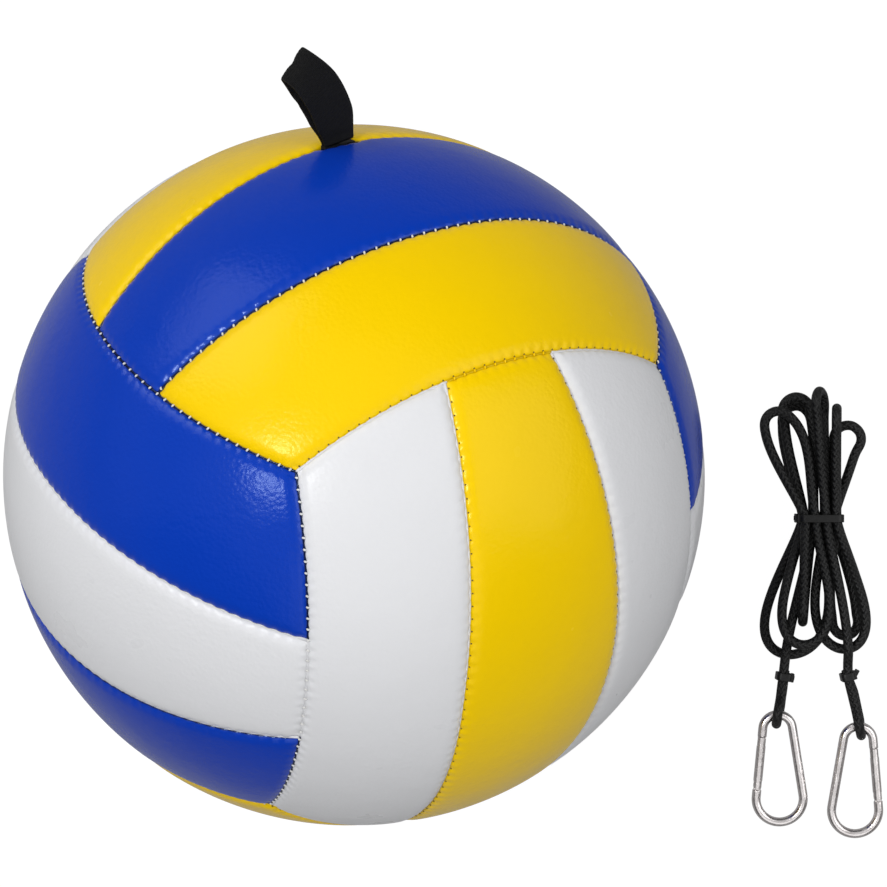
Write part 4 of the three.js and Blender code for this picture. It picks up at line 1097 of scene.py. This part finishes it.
# The fold tubes take their leather at edge 0, so they carry its full painted seam shade, near black where the
# fold is blue.
details += [(f"seam_fold_{colour}", lines, leathers[colour], colour, 0) for colour, lines in folds.items()]
for name, shapes, material, colour, edge in details:
    points, faces = joined(shapes)
    make(name, (to_world(points), faces), material, "ball",
         edge=None if edge is None else np.full(len(points), edge))


# Webbing loop


def webbing_place_of(height, face, sideways):
    """World points of the bent loop, from height above the ball and places across its legs and its width."""
    tilt = webbing_lean + webbing_bend * height
    run = (np.cos(tilt) - math.cos(webbing_lean)) / webbing_bend + sideways * np.cos(tilt)
    rise = (np.sin(tilt) - math.sin(webbing_lean)) / webbing_bend + sideways * np.sin(tilt)
    return to_world(webbing_out * ball_radius + webbing_along * run[..., None]
                    + webbing_out * rise[..., None] + webbing_face * face[..., None])


def webbing_band():
    """The loop's shape, and the band's length along its middle."""
    leg_half, half_columns, edge_power = (webbing_leg_gap + webbing_thickness) / 2, 61, 10
    rib_pitch, rib_depth, root_end, root_close = 1.5, 0.06, 4, 1
    swing, swing_clear, root_gap, root_gap_low = math.radians(35), 0.62, 0.03, 0.3
    crease_height, crease_slope, crease_half, crease_depth = 22, 9, 1.6, 0.7
    dip_depth, dip_share, dip_half_share, dip_low, dip_high = 0.45, 0.02, 0.13, 24, 29
    taper_share, taper_low = 0.14, 18
    turn = np.linspace(0, np.pi, 2000)
    line = spaced(np.column_stack([
        leg_half * np.cos(turn) + webbing_belly * teardrop(turn),
        webbing_root_low + (webbing_loop_height - webbing_root_low) * np.sin(turn) ** 2,
        0 * turn]), 0.22)
    ahead = unit(np.gradient(line, axis=0))
    ahead[0], ahead[-1] = (0, 1, 0), (0, -1, 0)
    normal = np.column_stack([ahead[:, 1], -ahead[:, 0]])
    walked = walked_along(line)
    share = np.sin(np.linspace(-np.pi / 2, np.pi / 2, half_columns)) * 0.5
    face_sign = np.repeat([1.0, -1.0], [half_columns, half_columns - 2])
    share = np.concatenate([share, share[-2:0:-1]])
    across = share * webbing_width
    thick = webbing_thickness / 2 * np.sqrt(np.clip(1 - np.abs(2 * share) ** edge_power, 0, 1))
    diagonal = (walked[:, None] + face_sign * across) / rib_pitch
    rib = rib_depth * (np.abs(np.sin(np.pi * diagonal)) - 1)
    offset = face_sign * (thick + rib * np.clip(thick / 0.4, 0, 1))
    height = line[:, 1:2] + normal[:, 1:] * offset
    face = line[:, :1] + normal[:, :1] * offset
    # The root, squeezed between the panels as far as the loop's swing needs
    outer_face = np.minimum(stem_half, (swing_clear + height * math.cos(swing)) / math.sin(swing))
    inner_face = np.minimum(root_gap + webbing_leg_gap / 2 * smoothstep(height, root_gap_low, root_end),
                            outer_face * 0.5)
    depth = (np.abs(face) - webbing_leg_gap / 2) / webbing_thickness
    rooted = np.sign(face) * (inner_face + np.clip(depth, 0, 1) * (outer_face - inner_face))
    face = face + (rooted - face) * (1 - smoothstep(height, root_close, root_end))
    # A crease across one leg, a dip in the crown, and the width, gathered at the root and at the crown
    crease = np.exp(-((height - crease_height - crease_slope * share) / crease_half) ** 2)
    face = face - crease_depth * crease * np.clip(0.5 - share, 0, 1) * (normal[:, :1] > 0)
    dip = np.exp(-((share - dip_share) / dip_half_share) ** 2)
    height = height - dip_depth * dip * smoothstep(height, dip_low, dip_high)
    width = webbing_gather_width + (webbing_width - webbing_gather_width) * smoothstep(
        height, 0, webbing_gather_height)
    width = width * (1 - taper_share * smoothstep(height, taper_low, webbing_loop_height))
    points = webbing_place_of(height, face, width * share)
    rows, columns = height.shape
    quads, corner_rows, corner_columns = grid_quads(rows, columns, wrap=True)
    uvs = np.stack([walked[corner_rows], across[corner_columns % columns]], axis=-1).reshape(-1, 2)
    uvs = np.concatenate([uvs, np.zeros((2 * columns, 2))])
    return (points.reshape(-1, 3), quads.tolist() + ring_caps(rows, columns), uvs), walked[-1]


band, strap_length = webbing_band()
strap = make("webbing_loop", band, webbing, "strap", ("strap_loop",))


# CAD nodes that stay: they are inside the ball, or hidden in its wall

for node, material in (("carcass", carcass_cloth), ("bladder", bladder_rubber), ("valve", bladder_rubber),
                       ("strap_anchor", webbing)):
    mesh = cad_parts[node].data
    mesh.materials.clear()
    mesh.materials.append(material)


# Floor, world and lights


def floor_material():
    """White paper that the camera sees as nearly even white, with the object's shadow kept faintly."""
    p = painter("floor")
    paper = p.add("BsdfDiffuse", {"Color": (*grey(0.28), 1)}).outputs[0]
    glow = p.add("Emission", {"Color": (1, 1, 1, 1), "Strength": 1.15}).outputs[0]
    path = p.add("LightPath").outputs
    mirrored = p.math("MAXIMUM", path["Is Glossy Ray"], path["Is Transmission Ray"])
    share = p.math("MAXIMUM", p.math("MULTIPLY", path["Is Camera Ray"], 0.86),
                   p.math("MULTIPLY", mirrored, 0.12))
    mixed = p.add("MixShader", {0: share, 1: paper, 2: glow}).outputs[0]
    p.tree.nodes.remove(p.tree.nodes["Principled BSDF"])
    p.put(p.tree.nodes["Material Output"].inputs["Surface"], mixed)
    return p.owner


corners = [(-4, -4, 0), (4, -4, 0), (4, 4, 0), (-4, 4, 0)]
floor = placed("floor", mesh_of("floor", corners, [(0, 1, 2, 3)]))
floor.data.materials.append(floor_material())

# The room's brightness by height, from below to overhead, and plain white for the camera
room_levels = ((0.0, 0.24), (0.22, 0.24), (0.34, 0.09), (0.62, 0.09), (0.76, 0.62), (1.0, 0.62))
world = bpy.data.worlds.new("studio")
bpy.context.scene.world = world
p = Painter(world)
height = p.add("SeparateXYZ", {"Vector": p.add("TexCoord").outputs["Generated"]}).outputs["Z"]
room = p.ramp(height, *((place, grey(level)) for place, level in room_levels))
seen = p.add("LightPath").outputs["Is Camera Ray"]
p.put(p.tree.nodes["Background"].inputs["Color"], p.mix(seen, room, (1, 1, 1, 1)))

lamp_distance, lamp_aim = 2.2, 0.1
lamps = {"camera": ((-0.364, 0.043, 0.93), 0.34, 18.0), "back": ((-0.56, 0.68, 0.47), 1.3, 15.5),
         "right": ((0.77, 0.10, 0.63), 1.7, 15.5), "left": ((-0.85, 0.15, 0.50), 1.6, 3.0),
         "front": ((0.10, -0.70, 0.70), 1.8, 7.5)}
for name, (direction, size, energy) in lamps.items():
    data = bpy.data.lights.new(f"softbox_{name}", "AREA")
    data.shape, data.size, data.energy = "SQUARE", size, energy
    light = placed(f"softbox_{name}", data)
    direction = unit(np.array(direction))
    light.location = direction * lamp_distance + EZ * lamp_aim
    sideways = unit(np.cross(EY, direction))
    turned = np.column_stack([sideways, np.cross(direction, sideways), direction])
    light.rotation_euler = Matrix(turned.tolist()).to_euler()
